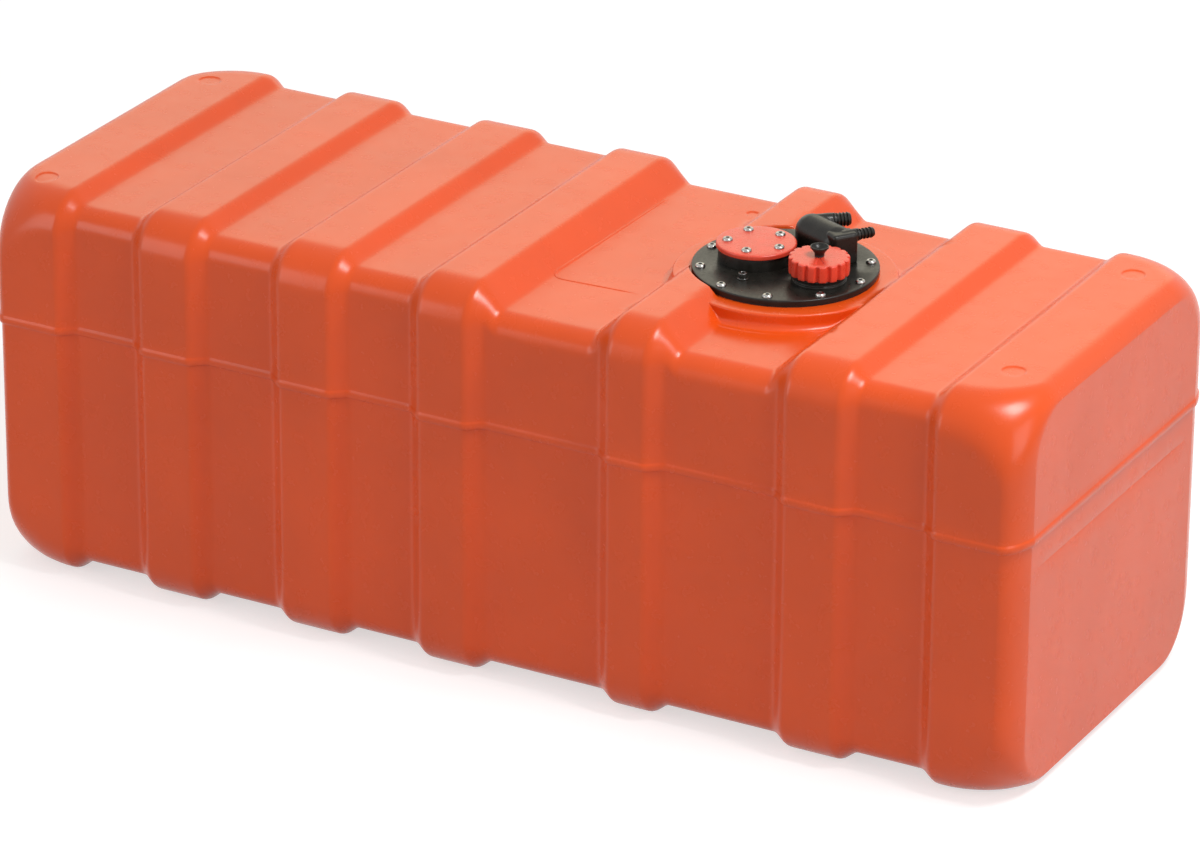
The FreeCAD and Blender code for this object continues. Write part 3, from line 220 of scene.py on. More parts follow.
def lathe(outline, centre=(0.0, 0.0), steps=96, closed=False, shape=None):
    """Points and faces of a section turned round an upright line; shape may change them."""
    points, faces, rings = [], [], []
    for radius, height in outline:
        if radius <= 1e-6:
            rings.append([len(points)])
            points.append((centre[0], centre[1], height))
            continue
        rings.append(list(range(len(points), len(points) + steps)))
        for step in range(steps):
            angle = 2 * math.pi * step / steps
            far, level = shape(radius, height, angle) if shape else (radius, height)
            points.append((centre[0] + far * math.cos(angle),
                           centre[1] + far * math.sin(angle), level))
    pairs = list(zip(rings, rings[1:]))
    if closed:
        pairs.append((rings[-1], rings[0]))
    for lower, upper in pairs:
        for step in range(steps):
            following = (step + 1) % steps
            if len(lower) == 1 and len(upper) > 1:
                faces.append((lower[0], upper[following], upper[step]))
            elif len(upper) == 1 and len(lower) > 1:
                faces.append((lower[step], lower[following], upper[0]))
            elif len(lower) > 1:
                faces.append((lower[step], lower[following], upper[following], upper[step]))
    return points, faces


def placed(part, matrix):
    """Points and faces with their points moved by a matrix."""
    points, faces = part
    return [tuple(matrix @ Vector(point)) for point in points], faces


def joined(*parts):
    """Points and faces of several forms as one list."""
    points, faces = [], []
    for part_points, part_faces in parts:
        first = len(points)
        points += list(part_points)
        faces += [tuple(first + index for index in face) for face in part_faces]
    return points, faces


def make_piece(name, part, material, body="root", replaces=(), sharp=35.0, creases=()):
    """Object in metres from points and faces, smooth but for sharp edges and given rings."""
    points, faces = part
    mesh = bpy.data.meshes.new(name)
    mesh.from_pydata((np.array(points, float) * MM).tolist(), [], faces)
    work = bmesh.new()
    work.from_mesh(mesh)
    bmesh.ops.recalc_face_normals(work, faces=work.faces[:])
    for face in work.faces:
        face.smooth = True
    limit = math.radians(sharp)
    for edge in work.edges:
        edge.smooth = not (edge.is_manifold and edge.calc_face_angle(0.0) > limit)
    for ring in creases:
        for edge in work.edges:
            if edge.verts[0].index in ring and edge.verts[1].index in ring:
                edge.smooth = False
    work.to_mesh(mesh)
    work.free()
    mesh.materials.append(material)
    piece = bpy.data.objects.new(name, mesh)
    bpy.context.scene.collection.objects.link(piece)
    finish_piece(piece, body, replaces)
    return piece


def finish_piece(piece, body, replaces):
    """Tie a piece to its body and hide the nodes that it stands for."""
    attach(piece, body)
    if replaces:
        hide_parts(*replaces)


class Finish:
    """Small helper that wires up the nodes of one material."""

    def __init__(self, name):
        self.material = bpy.data.materials.new(name + LOOK)
        self.material.use_nodes = True
        self.tree = self.material.node_tree
        self.tree.nodes.clear()
        self.output = self.tree.nodes.new("ShaderNodeOutputMaterial")
        self.shader = self.tree.nodes.new("ShaderNodeBsdfPrincipled")
        self.tree.links.new(self.shader.outputs["BSDF"], self.output.inputs["Surface"])
        self.place = self.tree.nodes.new("ShaderNodeTexCoord").outputs["Object"]

    def set(self, socket, value):
        """Give one of the shader's own sockets a plain value."""
        self.shader.inputs[socket].default_value = value

    def noise(self, scale, detail=3.0, roughness=0.5, stretch=None):
        """Noise with a number of features in a metre, stretched along an axis if asked."""
        node = self.tree.nodes.new("ShaderNodeTexNoise")
        node.inputs["Scale"].default_value = scale
        node.inputs["Detail"].default_value = detail
        node.inputs["Roughness"].default_value = roughness
        place = self.place
        if stretch:
            mapping = self.tree.nodes.new("ShaderNodeMapping")
            mapping.inputs["Scale"].default_value = stretch
            self.tree.links.new(place, mapping.inputs["Vector"])
            place = mapping.outputs["Vector"]
        self.tree.links.new(place, node.inputs["Vector"])
        return node.outputs["Fac"]

    def span(self, value, low, high, first=0.3, last=0.7):
        """Number that runs from low to high as a value runs from first to last."""
        node = self.tree.nodes.new("ShaderNodeMapRange")
        self.tree.links.new(value, node.inputs["Value"])
        node.inputs["From Min"].default_value = first
        node.inputs["From Max"].default_value = last
        node.inputs["To Min"].default_value = low
        node.inputs["To Max"].default_value = high
        return node.outputs["Result"]

    def tint(self, value, low, high, first=0.3, last=0.7):
        """Colour that runs from low to high as a value runs from first to last."""
        node = self.tree.nodes.new("ShaderNodeMix")
        node.data_type = "RGBA"
        self.tree.links.new(self.span(value, 0.0, 1.0, first, last), node.inputs["Factor"])
        node.inputs["A"].default_value = (*low, 1.0)
        node.inputs["B"].default_value = (*high, 1.0)
        return node.outputs["Result"]

    def bumps(self, *layers):
        """Chain of bumps, each as (height, depth in metres, strength)."""
        normal = None
        for height, depth, strength in layers:
            node = self.tree.nodes.new("ShaderNodeBump")
            node.inputs["Distance"].default_value = depth
            node.inputs["Strength"].default_value = strength
            self.tree.links.new(height, node.inputs["Height"])
            if normal:
                self.tree.links.new(normal, node.inputs["Normal"])
            normal = node.outputs["Normal"]
        self.tree.links.new(normal, self.shader.inputs["Normal"])

    def link(self, value, socket):
        """Lead a worked out value into one of the shader's sockets."""
        self.tree.links.new(value, self.shader.inputs[socket])

    def mottle(self, colour, scale, detail, darker, lighter):
        """Base colour that wanders between a darker and a lighter shade."""
        noise = self.noise(scale, detail)
        self.link(self.tint(noise, shade(colour, darker), shade(colour, lighter)), "Base Color")

    def dullness(self, scale, detail, low, high):
        """Roughness that wanders between two values."""
        self.link(self.span(self.noise(scale, detail), low, high), "Roughness")


def shade(colour, factor):
    """Colour made lighter or darker by a factor."""
    return tuple(min(1.0, part * factor) for part in colour[:3])


def tank_plastic(colours):
    """Moulded polyethylene: faint mottling, slow waves and a fine grain."""
    finish = Finish("tank_plastic")
    finish.mottle(colours.tank, 9.0, 4.0, 0.94, 1.05)
    finish.dullness(60.0, 5.0, 0.22, 0.29)
    finish.set("IOR", 1.42)
    finish.bumps((finish.noise(11.0, 2.0), 0.004, 0.25),
                 (finish.noise(300.0, 1.0), 0.00004, 0.10))
    return finish.material


def black_plastic(colours):
    """Black glass-filled plastic with a fine dull grain."""
    finish = Finish("black_plastic")
    finish.mottle(colours.black, 120.0, 4.0, 0.8, 1.5)
    finish.dullness(400.0, 4.0, 0.26, 0.40)
    finish.set("IOR", 1.36)
    finish.bumps((finish.noise(700.0, 2.0), 0.00003, 0.12))
    return finish.material


def red_plastic(colours):
    """Glossy red moulded plastic."""
    finish = Finish("red_plastic")
    finish.mottle(colours.red, 70.0, 4.0, 0.92, 1.06)
    finish.dullness(300.0, 4.0, 0.24, 0.38)
    finish.bumps((finish.noise(60.0, 1.0), 0.0005, 0.10), (finish.noise(400.0, 1.0), 0.00002, 0.06))
    return finish.material


def rubber(colours):
    """Matt black sealing rubber."""
    finish = Finish("rubber")
    finish.mottle(colours.rubber, 200.0, 5.0, 0.8, 1.4)
    finish.dullness(500.0, 4.0, 0.7, 0.9)
    finish.bumps((finish.noise(1800.0, 3.0), 0.00006, 0.5))
    return finish.material


def turned_metal(name, colour, low, high):
    """Metal with fine tool marks and slight staining."""
    finish = Finish(name)
    finish.mottle(colour, 260.0, 5.0, 0.82, 1.08)
    finish.set("Metallic", 1.0)
    finish.link(finish.span(finish.noise(900.0, 3.0, 0.6, (1.0, 1.0, 8.0)), low, high), "Roughness")
    finish.bumps((finish.noise(1200.0, 2.0, 0.5, (1.0, 1.0, 10.0)), 0.00003, 0.3))
    return finish.material


def black_steel(colours):
    """Steel with a thin black coating that is worn a little."""
    finish = Finish("black_steel")
    finish.mottle(colours.black, 500.0, 6.0, 0.8, 2.2)
    finish.set("IOR", 1.8)
    finish.dullness(700.0, 4.0, 0.12, 0.24)
    finish.bumps((finish.noise(1600.0, 2.0), 0.00003, 0.3))
    return finish.material


def finishes():
    """Looks by the name of their slot, made on the first call."""
    colours = bpy.context.scene.fuel_tank_colours
    makers = {
        "tank_plastic": lambda: tank_plastic(colours),
        "black_plastic": lambda: black_plastic(colours),
        "red_plastic": lambda: red_plastic(colours),
        "rubber": lambda: rubber(colours),
        "brass": lambda: turned_metal("brass", colours.brass, 0.2, 0.36),
        "stainless_steel": lambda: turned_metal("stainless_steel", colours.steel, 0.14, 0.3),
        "black_steel": lambda: black_steel(colours),
    }
    return {name: bpy.data.materials.get(name + LOOK) or maker() for name, maker in makers.items()}


def zone_start(index):
    """X of the left border of a band or recess, in millimetres."""
    return sum(ZONE_LENGTHS[:index]) - sum(ZONE_LENGTHS) / 2


def recess_depths(x, sizes):
    """Depth of the side and of the top under the bands at places along the tank."""
    side, top = np.zeros_like(x), np.zeros_like(x)
    for index in range(1, len(ZONE_LENGTHS) - 1, 2):
        inside = x - zone_start(index)
        ahead = zone_start(index + 1) - x
        low = index in LOW_ZONES
        run = (sizes.low_flank_run if low else sizes.flank_run) / MM
        depth = (sizes.low_depth if low else sizes.recess_depth) / MM
        plain_run = sizes.flank_run / MM
        soft = sizes.edge_softness / MM
        side += sizes.recess_depth / MM * np.minimum(soft_ramp(inside, plain_run, soft),
                                                     soft_ramp(ahead, plain_run, soft))
        top += depth * np.minimum(soft_ramp(inside, run, soft), soft_ramp(ahead, run, soft))
    return side, top


def tank_places(sizes):
    """Places along the tank where its mesh has a section."""
    half = sum(ZONE_LENGTHS) / 2
    length = sizes.end_round_length / MM
    run = sizes.end_corner_run / MM
    places = [half - length * (1 - math.cos(math.radians(90) * step / END_STEPS))
              for step in range(END_STEPS + 1)]
    places += [half - length - (run - length) * step / END_CORNER_STEPS
               for step in range(1, END_CORNER_STEPS + 1)]
    places += [-place for place in places]
    margin = sizes.edge_softness / MM + 1
    for index in range(1, len(ZONE_LENGTHS)):
        recess = index if index % 2 else index - 1
        run = (sizes.low_flank_run if recess in LOW_ZONES else sizes.flank_run) / MM
        sense = 1 if index % 2 else -1
        count = round((run + 2 * margin) / FLANK_STEP)
        for step in range(count + 1):
            places.append(zone_start(index) + sense * (-margin + (run + 2 * margin) * step / count))
    places = sorted(set(round(place, 4) for place in places))
    filled = [places[0]]
    for place in places[1:]:
        gap = place - filled[-1]
        start = filled[-1]
        count = max(1, math.ceil(gap / PLAIN_STEP))
        filled += [start + gap * step / count for step in range(1, count)]
        filled.append(place)
    return np.array(filled)


def side_heights(sizes):
    """Fixed heights of the rows round the seam and the second line, from the top down."""
    seam = sizes.seam_height / MM
    rows = [seam + height for height, _ in reversed(SEAM_PROFILE)]
    crease = seam - CREASE_BELOW_SEAM
    rows += [seam - 12, seam - 20]
    rows += [crease + height for height, _ in reversed(CREASE_PROFILE)]
    return np.array(rows)


def seam_shift(height, sizes):
    """Outward shift of the side at a height, for the seam and the narrower lower half."""
    levels, shifts = zip(*SEAM_PROFILE)
    return np.interp(height - sizes.seam_height / MM, levels, shifts)


def bent_in(place, length, sharpness):
    """Share of a rounded edge's inset at a distance from the end; 1 gives a full quarter round."""
    rise = sharpness * np.clip(1 - place / length, 0.0, 1.0)
    return (1 - np.sqrt(1 - rise * rise)) / (1 - math.sqrt(1 - min(sharpness, 1.0) ** 2))


def section_sizes(x, sizes):
    """Half width, bottom, top and corner radius of the sections at places along the tank."""
    box_low, box_high = node_box("tank_shell")
    half = sum(ZONE_LENGTHS) / 2
    width = (box_high[1] - box_low[1]) / 2 - dict(SEAM_PROFILE)[0.0]
    height = sizes.height / MM
    side, top = recess_depths(x, sizes)
    back = half - np.abs(x)
    bend = bent_in(back, sizes.end_round_length / MM, END_CREASE)
    inset = sizes.end_side_round / MM * bend
    drop = sizes.end_top_round / MM * bend
    lift = sizes.end_bottom_round / MM * bend
    band = sizes.band_edge_radius / MM
    recess = sizes.recess_edge_radius / MM
    share = side / (sizes.recess_depth / MM)
    slant = math.sqrt(0.5) * (inset + drop)
    cut = math.sqrt(2) - 1
    first = cut * band
    last = cut * sizes.end_corner_radius / MM + math.sqrt(0.5) * (
        sizes.end_side_round + sizes.end_top_round) / MM
    grown = first + (last - first) * bent_in(back, sizes.end_corner_run / MM, 1.0)
    radius = (grown - slant) / cut + (recess - band) * share
    return width - side - inset, side + lift, height - top - drop, radius


def top_heights(x, y, sizes):
    """Heights of the tank's top at places, also where it curves down to the sides."""
    half_width, _, top, radius = section_sizes(np.asarray(x), sizes)
    over = np.clip(np.abs(y) - (half_width - radius), 0, radius)
    return top - (radius - np.sqrt(radius * radius - over * over))


def section_normals(x, half_width):
    """Outward direction of the sides in plan at each section."""
    slope = np.gradient(half_width, x)
    length = np.hypot(slope, 1.0)
    normal_x, normal_y = -slope / length, 1 / length
    normal_x[0], normal_y[0] = -1.0, 0.0
    normal_x[-1], normal_y[-1] = 1.0, 0.0
    return normal_x, normal_y


def top_row(flat):
    """Y of the points across a flat top of a given half width, from front to back."""
    middle = np.linspace(-MIDDLE_HALF, MIDDLE_HALF, MIDDLE_STEPS + 1)
    usual = max(flat, USUAL_FLAT)
    steps = np.arange(1, SHOULDER_STEPS + 1)
    shoulder = MIDDLE_HALF + (usual - MIDDLE_HALF) * steps / SHOULDER_STEPS
    row = np.concatenate([-shoulder[::-1], middle, shoulder])
    return row * (flat / usual)


def strip(along, across, up):
    """Points of one stretch of a section, as rows of X, Y and Z."""
    return np.column_stack(np.broadcast_arrays(along, across, up))


def tank_grid(x, sizes):
    """Points of all sections, as an array of section, place round it, and X, Y, Z."""
    half_width, bottom, top, radius = section_sizes(x, sizes)
    normal_x, normal_y = section_normals(x, half_width)
    fixed = side_heights(sizes)
    lower_shift = SEAM_PROFILE[0][1]
    sections = []
    for i in range(len(x)):
        r, flat = radius[i], half_width[i] - radius[i]
        row = top_row(flat)
        turn = np.radians(90) * np.arange(1, CORNER_STEPS) / CORNER_STEPS
        upper = np.linspace(top[i] - r, fixed[0], UPPER_ROWS + 1)
        lower = np.linspace(fixed[-1], bottom[i] + r, LOWER_ROWS + 1)
        heights = np.concatenate([upper[:-1], fixed, lower[1:]])
        shift = seam_shift(heights, sizes)
        ahead, sunk = lower_shift * normal_x[i], lower_shift * normal_y[i]
        strips = [strip(0.0, row, top[i]),
                  strip(0.0, flat + r * np.sin(turn), top[i] - r + r * np.cos(turn)),
                  strip(shift * normal_x[i], half_width[i] + shift * normal_y[i], heights),
                  strip(ahead, flat + r * np.cos(turn) + sunk, bottom[i] + r - r * np.sin(turn)),
                  strip(ahead, row[::-1] * (flat + sunk) / flat, bottom[i])]
        strips += [strips[part][::-1] * (1, -1, 1) for part in (3, 2, 1)]
        sections.append(np.concatenate(strips) + (x[i], 0.0, 0.0))
    return np.array(sections)


def end_face(points, ring, sizes, sense):
    """Fill one end with rows that keep the seam level; adds points and gives faces."""
    row_count = 2 * SHOULDER_STEPS + MIDDLE_STEPS + 1
    side_count = UPPER_ROWS + LOWER_ROWS + len(side_heights(sizes))
    half_corner = CORNER_STEPS // 2
    total = len(ring)
    top_start = total - half_corner
    columns = row_count + 2 * half_corner
    rows = side_count + 2 * half_corner
    top = [ring[(top_start + step) % total] for step in range(columns)]
    right = [ring[(row_count - 1 + half_corner + step) % total] for step in range(rows)]
    left = [ring[(top_start - step) % total] for step in range(rows)]
    bottom_start = row_count - 1 + half_corner + rows - 1
    bottom = [ring[(bottom_start + step) % total] for step in range(columns)][::-1]
    corner = points[top[0]]
    low_corner = points[bottom[0]]
    straight_top = points[left[half_corner]][2]
    straight_low = points[left[rows - 1 - half_corner]][2]
    crease = sizes.seam_height / MM - CREASE_BELOW_SEAM
    levels, cuts = zip(*CREASE_PROFILE)
    grid = [top]
    for j in range(1, rows - 1):
        edge = points[left[j]]
        line = [left[j]]
        for k in range(1, columns - 1):
            if edge[2] >= straight_top:
                guide = points[top[k]]
                share = (edge[2] - straight_top) / (corner[2] - straight_top)
                level = straight_top + share * (guide[2] - straight_top)
                across = guide[1] * edge[1] / corner[1]
            elif edge[2] <= straight_low:
                guide = points[bottom[k]]
                share = (straight_low - edge[2]) / (straight_low - low_corner[2])
                level = straight_low - share * (straight_low - guide[2])
                across = guide[1] * edge[1] / low_corner[1]
            else:
                level = edge[2]
                share = (straight_top - edge[2]) / (straight_top - straight_low)
                high, low = points[top[k]][1] / corner[1], points[bottom[k]][1] / low_corner[1]
                across = edge[1] * (high + (low - high) * share)
            out = float(seam_shift(level, sizes))
            fade = 1 - smooth_step((abs(across) - CREASE_FADE[0])
                                   / (CREASE_FADE[1] - CREASE_FADE[0]))
            out += float(np.interp(level - crease, levels, cuts)) * float(fade)
            line.append(len(points))
            points.append((sense * (sum(ZONE_LENGTHS) / 2 + out), across, level))
        line.append(right[j])
        grid.append(line)
    grid.append(bottom)
    faces = []
    for above, below in zip(grid, grid[1:]):
        for k in range(columns - 1):
            faces.append((above[k], above[k + 1], below[k + 1], below[k]))
    return faces


def round_patch(points, loop, centre, rings, height_at, blend_steps, closed):
    """Rings that run inwards from the edge of a hole in the top; adds points and gives faces."""
    edge = np.array([points[index][:2] for index in loop])
    spoke = edge - np.array(centre)
    reach = np.linalg.norm(spoke, axis=1)
    way = spoke / reach[:, None]
    first = rings[0][0]
    lines = [list(loop)]
    for step in range(1, blend_steps):
        radius = reach + (first - reach) * step / blend_steps
        place = np.array(centre) + way * radius[:, None]
        lines.append(add_line(points, place, height_at(place)))
    for radius, level in rings:
        place = np.array(centre) + way * radius
        lines.append(add_line(points, place, level(height_at(place))))
    faces = []
    for outer, inner in zip(lines, lines[1:]):
        faces += ring_faces(outer, inner)
    if closed:
        faces.append(tuple(lines[-1]))
    return faces


def add_line(points, place, level):
    """Add a line of points at given heights and give their numbers."""
    first = len(points)
    points += [(spot[0], spot[1], height) for spot, height in zip(place, level)]
    return list(range(first, len(points)))


def collar_rings():
    """Rings of the collar from its foot to the hole: radius and height rule."""
    def standing(level):
        return lambda ground: soft_max(ground, np.full_like(ground, level), COLLAR_BLEND)

    def pocket(level):
        return lambda ground: soft_min(
            soft_max(ground, np.full_like(ground, PLATFORM_LEVEL), COLLAR_BLEND),
            np.full_like(ground, level), 1.0)

    def flat(level):
        return lambda ground: np.full_like(ground, level)

    floor = PLATFORM_LEVEL - 15.5
    rings = []
    for step in range(9):
        angle = math.radians(270 - 90 * step / 8)
        rings.append((COLLAR_RADIUS + COLLAR_FLARE * (1 + math.cos(angle)),
                      standing(floor + COLLAR_FLARE * (1 + math.sin(angle)))))
    wall = floor + COLLAR_FLARE
    lip = PLATFORM_LEVEL - COLLAR_LIP
    for step in range(1, 3):
        rings.append((COLLAR_RADIUS - 0.1 * step, standing(wall + (lip - wall) * step / 3)))
    for step in range(6):
        angle = math.radians(90 * step / 5)
        rings.append((COLLAR_RADIUS - 0.3 - COLLAR_LIP * (1 - math.cos(angle)),
                      standing(lip + COLLAR_LIP * math.sin(angle))))
    rings += [(radius, standing(PLATFORM_LEVEL)) for radius in (102.0, 99.0, 96.0, 93.5)]
    for step in range(7):
        share = step / 6
        rings.append((POCKET_RADIUS + 1.8 * (1 - share) ** 1.5,
                      pocket(PLATFORM_LEVEL + 0.6 + 9.5 * (1 - share))))
    rings += [(POCKET_RADIUS - 0.4, flat(PLATFORM_LEVEL)), (80.0, flat(PLATFORM_LEVEL)),
              (COLLAR_HOLE, flat(PLATFORM_LEVEL)), (COLLAR_HOLE - 0.1, flat(PLATFORM_LEVEL - 6))]
    return rings


def dished_rings(radius, depth):
    """Rings of a shallow round mark with soft edges."""
    def sunk(share):
        return lambda ground: ground - depth * share
    rings = []
    for step in range(7):
        share = step / 6
        rings.append((radius + 1.2 - 2.4 * share, sunk(float(smooth_step(share)))))
    rings.append((radius * 0.5, sunk(1.0)))
    return rings


def tank_form(sizes):
    """Points and faces of the whole tank, and the rings round its two end faces."""
    x = tank_places(sizes)
    grid = tank_grid(x, sizes)
    count = grid.shape[1]
    points = [tuple(place) for place in grid.reshape(-1, 3)]
    faces = []
    collar = node_centre("flange_gasket")[:2]
    patches = [(collar, MIDDLE_HALF, collar_rings(), 22, True)]
    for mark in MOULD_MARKS:
        patches.append((mark, 17.0, dished_rings(MARK_RADIUS, MARK_DEPTH), 4, False))
    patches.append((DIMPLE, 10.0, dished_rings(DIMPLE_RADIUS, MARK_DEPTH), 3, False))
    skipped = set()

    def height_at(places):
        return top_heights(places[:, 0], places[:, 1], sizes)

    for centre, half, rings, steps, open_middle in patches:
        i0 = int(np.argmin(np.abs(x - (centre[0] - half))))
        i1 = int(np.argmin(np.abs(x - (centre[0] + half))))
        across = grid[int(np.argmin(np.abs(x - centre[0]))), :, 1]
        first = -CORNER_STEPS // 2
        near = np.array([across[j % count] for j in range(first, len(top_row(USUAL_FLAT)) - first)])
        j0 = first + int(np.argmin(np.abs(near - (centre[1] - half))))
        j1 = first + int(np.argmin(np.abs(near - (centre[1] + half))))
        skipped |= {(i, j % count) for i in range(i0, i1) for j in range(j0, j1)}
        loop = [(i, j0) for i in range(i0, i1)] + [(i1, j) for j in range(j0, j1)]
        loop += [(i, j1) for i in range(i1, i0, -1)] + [(i0, j) for j in range(j1, j0, -1)]
        loop = [i * count + j % count for i, j in loop]
        faces += round_patch(points, loop, centre, rings, height_at, steps, not open_middle)
    for i in range(len(x) - 1):
        for j in range(count):
            if (i, j) not in skipped:
                after = (j + 1) % count
                faces.append((i * count + j, i * count + after,
                              (i + 1) * count + after, (i + 1) * count + j))
    rings = [range(count), range((len(x) - 1) * count, len(x) * count)]
    for ring, sense in zip(rings, (-1, 1)):
        faces += end_face(points, list(ring), sizes, sense)
    return (points, faces), rings


def panel_border(sizes):
    """Low bead round the corner of the plain panel on the wide recess."""
    spots = rounded_corner(*PANEL_BORDER, PANEL_CORNER)
    points, faces, rings = [], [], []
    for index, spot in enumerate(spots):
        way = spots[min(index + 1, len(spots) - 1)] - spots[max(index - 1, 0)]
        way /= np.linalg.norm(way)
        side = np.array((-way[1], way[0]))
        fade = min(1.0, (len(spots) - 1 - index) / 3, index / 3)
        ring = []
        for across, level in PANEL_BEAD:
            place = spot + side * across
            ground = float(top_heights(np.array([place[0]]), np.array([place[1]]), sizes)[0])
            ring.append(len(points))
            points.append((place[0], place[1], ground + (level * fade if level > 0 else level)))
        rings.append(ring)
    count = len(PANEL_BEAD)
    for before, after in zip(rings, rings[1:]):
        for k in range(count):
            following = (k + 1) % count
            faces.append((before[k], after[k], after[following], before[following]))
    faces += [tuple(rings[0]), tuple(reversed(rings[-1]))]
    return points, faces


def rounded_corner(first, corner, last, radius):
    """Places a few millimetres apart on two lines that meet in a rounded corner."""
    first, corner, last = (np.array(place, float) for place in (first, corner, last))
    back = (first - corner) / np.linalg.norm(first - corner)
    on = (last - corner) / np.linalg.norm(last - corner)
    spots = list(np.linspace(first, corner + back * radius, 40))
    for step in range(1, 9):
        share = step / 9
        spots.append(corner + back * radius * (1 - share) ** 2 + on * radius * share ** 2)
    return spots + list(np.linspace(corner + on * radius, last, 14))


def build_tank(sizes, made):
    """The moulded tank body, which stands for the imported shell."""
    shell, rings = tank_form(sizes)
    make_piece("tank_body", joined(shell, panel_border(sizes)), made["tank_plastic"], "root",
               ("tank_shell",), 50.0, rings)


def hex_reach(apothem, angle):
    """Distance from the middle of a hexagon to its side at an angle."""
    turn = math.radians(60)
    return apothem / math.cos((angle + turn / 2) % turn - turn / 2)


def button_head(centre, seat, radius, height, key, crown):
    """Button head with a six sided key hole, and a shank that is hidden below it."""
    top = seat + height
    floor = top - KEY_DEPTH
    outline = [(0.0, floor), (key * 0.4, floor), (key, floor + 0.3), (key, top - 0.2),
               (key + 0.3, top)]
    for step in range(9):
        share = step / 8
        outline.append((crown + (radius - crown) * math.sin(math.radians(90) * share),
                        seat + 0.35 + (height - 0.35) * math.cos(math.radians(90) * share)))
    outline += [(radius, seat), (2.5, seat), (2.5, seat - 6.0), (0.0, seat - 6.0)]

    def keyed(far, level, angle):
        if key * 0.3 < far < key + 0.5 and level > floor - 0.1:
            far *= hex_reach(1.0, angle)
        return far, level
    return lathe(outline, centre, 48, shape=keyed)


def circle_places(centre, radius, count, start):
    """Places on a circle, beginning at a given angle in degrees."""
    return [(centre[0] + radius * math.cos(math.radians(start + 360 * step / count)),
             centre[1] + radius * math.sin(math.radians(start + 360 * step / count)))
            for step in range(count)]


def pierced_disc(centre, radius, low, high, edge, holes):
    """Disc with a rounded rim and with round holes through it."""
    outline = soft_outline([(radius - 4, low, 0), (radius, low, 0.3), (radius, high, edge),
                            (radius - 4, high, 0)], edge, 6)
    points, faces = lathe(outline, centre, 192)
    count = 192
    rings = {"low": [list(range(count))],
             "high": [list(range(len(points) - count, len(points)))]}
    for place, reach in holes:
        wall = lathe([(reach, low), (reach, high - 0.4), (reach + 0.12, high - 0.12),
                      (reach + 0.4, high)], place, 64)
        first = len(points)
        points, faces = joined((points, faces), wall)
        rings["low"].append(list(range(first, first + 64)))
        rings["high"].append(list(range(len(points) - 64, len(points))))
    for level in ("low", "high"):
        faces += filled(points, rings[level])
    return points, faces


def filled(points, rings):
    """Triangles that fill the flat area between an outer ring and its holes."""
    work = bmesh.new()
    numbers = {}
    for ring in rings:
        corners = [work.verts.new(points[index]) for index in ring]
        numbers.update(zip(corners, ring))
        for index, corner in enumerate(corners):
            work.edges.new((corners[index - 1], corner))
    bmesh.ops.triangle_fill(work, edges=work.edges[:], use_beauty=True,
                            normal=(0, 0, 1))
    faces = [tuple(numbers[corner] for corner in face.verts) for face in work.faces]
    work.free()
    return faces


def flange_plate_form():
    """Round plate with the sender boss and the filler neck on it."""
    low, high = node_box("flange_plate")
    centre = node_centre("flange_gasket")[:2]
    sender = node_centre("sender_cover")[:2]
    filler = node_centre("filler_cap")[:2]
    radius = (high[0] - low[0]) / 2
    top = low[2] + PLATE_THICKNESS
    pickup = node_centre("pickup_tube")[:2]
    back = node_centre("return_tube")[:2]
    bonding = node_centre("bonding_screw")[:2]
    holes = [(sender, SENDER_BORE), (filler, NECK_BORE), (pickup, FEED_HOLE),
             (back, RETURN_HOLE), (bonding, SCREW_HOLE)]
    disc = pierced_disc(centre, radius, low[2], top, 1.2, holes)
    rim = node_box("sender_gasket")[0][2]
    boss = lathe(soft_outline([
        (SENDER_BORE, top - 0.5, 0), (SENDER_BOSS, top - 0.5, 0), (SENDER_BOSS, top + 0.1, 0),
        (SENDER_BOSS, rim, 0.5), (SENDER_BORE, rim, 0.5)]), sender, 128, True)
    neck_rim = node_box("cap_gasket")[0][2]
    neck = [(NECK_BORE, top - 0.5, 0), (NECK_BEAD, top - 0.5, 0), (NECK_BEAD, top + 2.5, 1.0),
            (NECK_RADIUS, top + 2.5, 0.8)]
    thread = top + 5.0
    while thread + THREAD_PITCH < neck_rim - 1:
        neck += [(NECK_RADIUS, thread, 0.2), (NECK_RADIUS + 0.5, thread + 0.9, 0.2),
                 (NECK_RADIUS + 0.5, thread + 1.5, 0.2), (NECK_RADIUS, thread + 2.2, 0.2)]
        thread += THREAD_PITCH
    neck += [(NECK_RADIUS, neck_rim, 0.6), (NECK_BORE, neck_rim, 0.6)]
    return joined(disc, boss, lathe(soft_outline(neck), filler, 128, True))


def build_flange(made):
    """Plate and the screws that hold it."""
    make_piece("flange_plate_dressed", flange_plate_form(), made["black_plastic"], "root",
               ("flange_plate",))
    centre = node_centre("flange_gasket")[:2]
    seat = node_box("flange_plate")[0][2] + PLATE_THICKNESS
    for number, place in enumerate(circle_places(centre, FLANGE_SCREW_CIRCLE, 10, 177.0)):
        make_piece(f"flange_screw_{number + 1}",
                   button_head(place, seat, *SCREW_HEAD), made["stainless_steel"],
                   "root", ("flange_screws",))


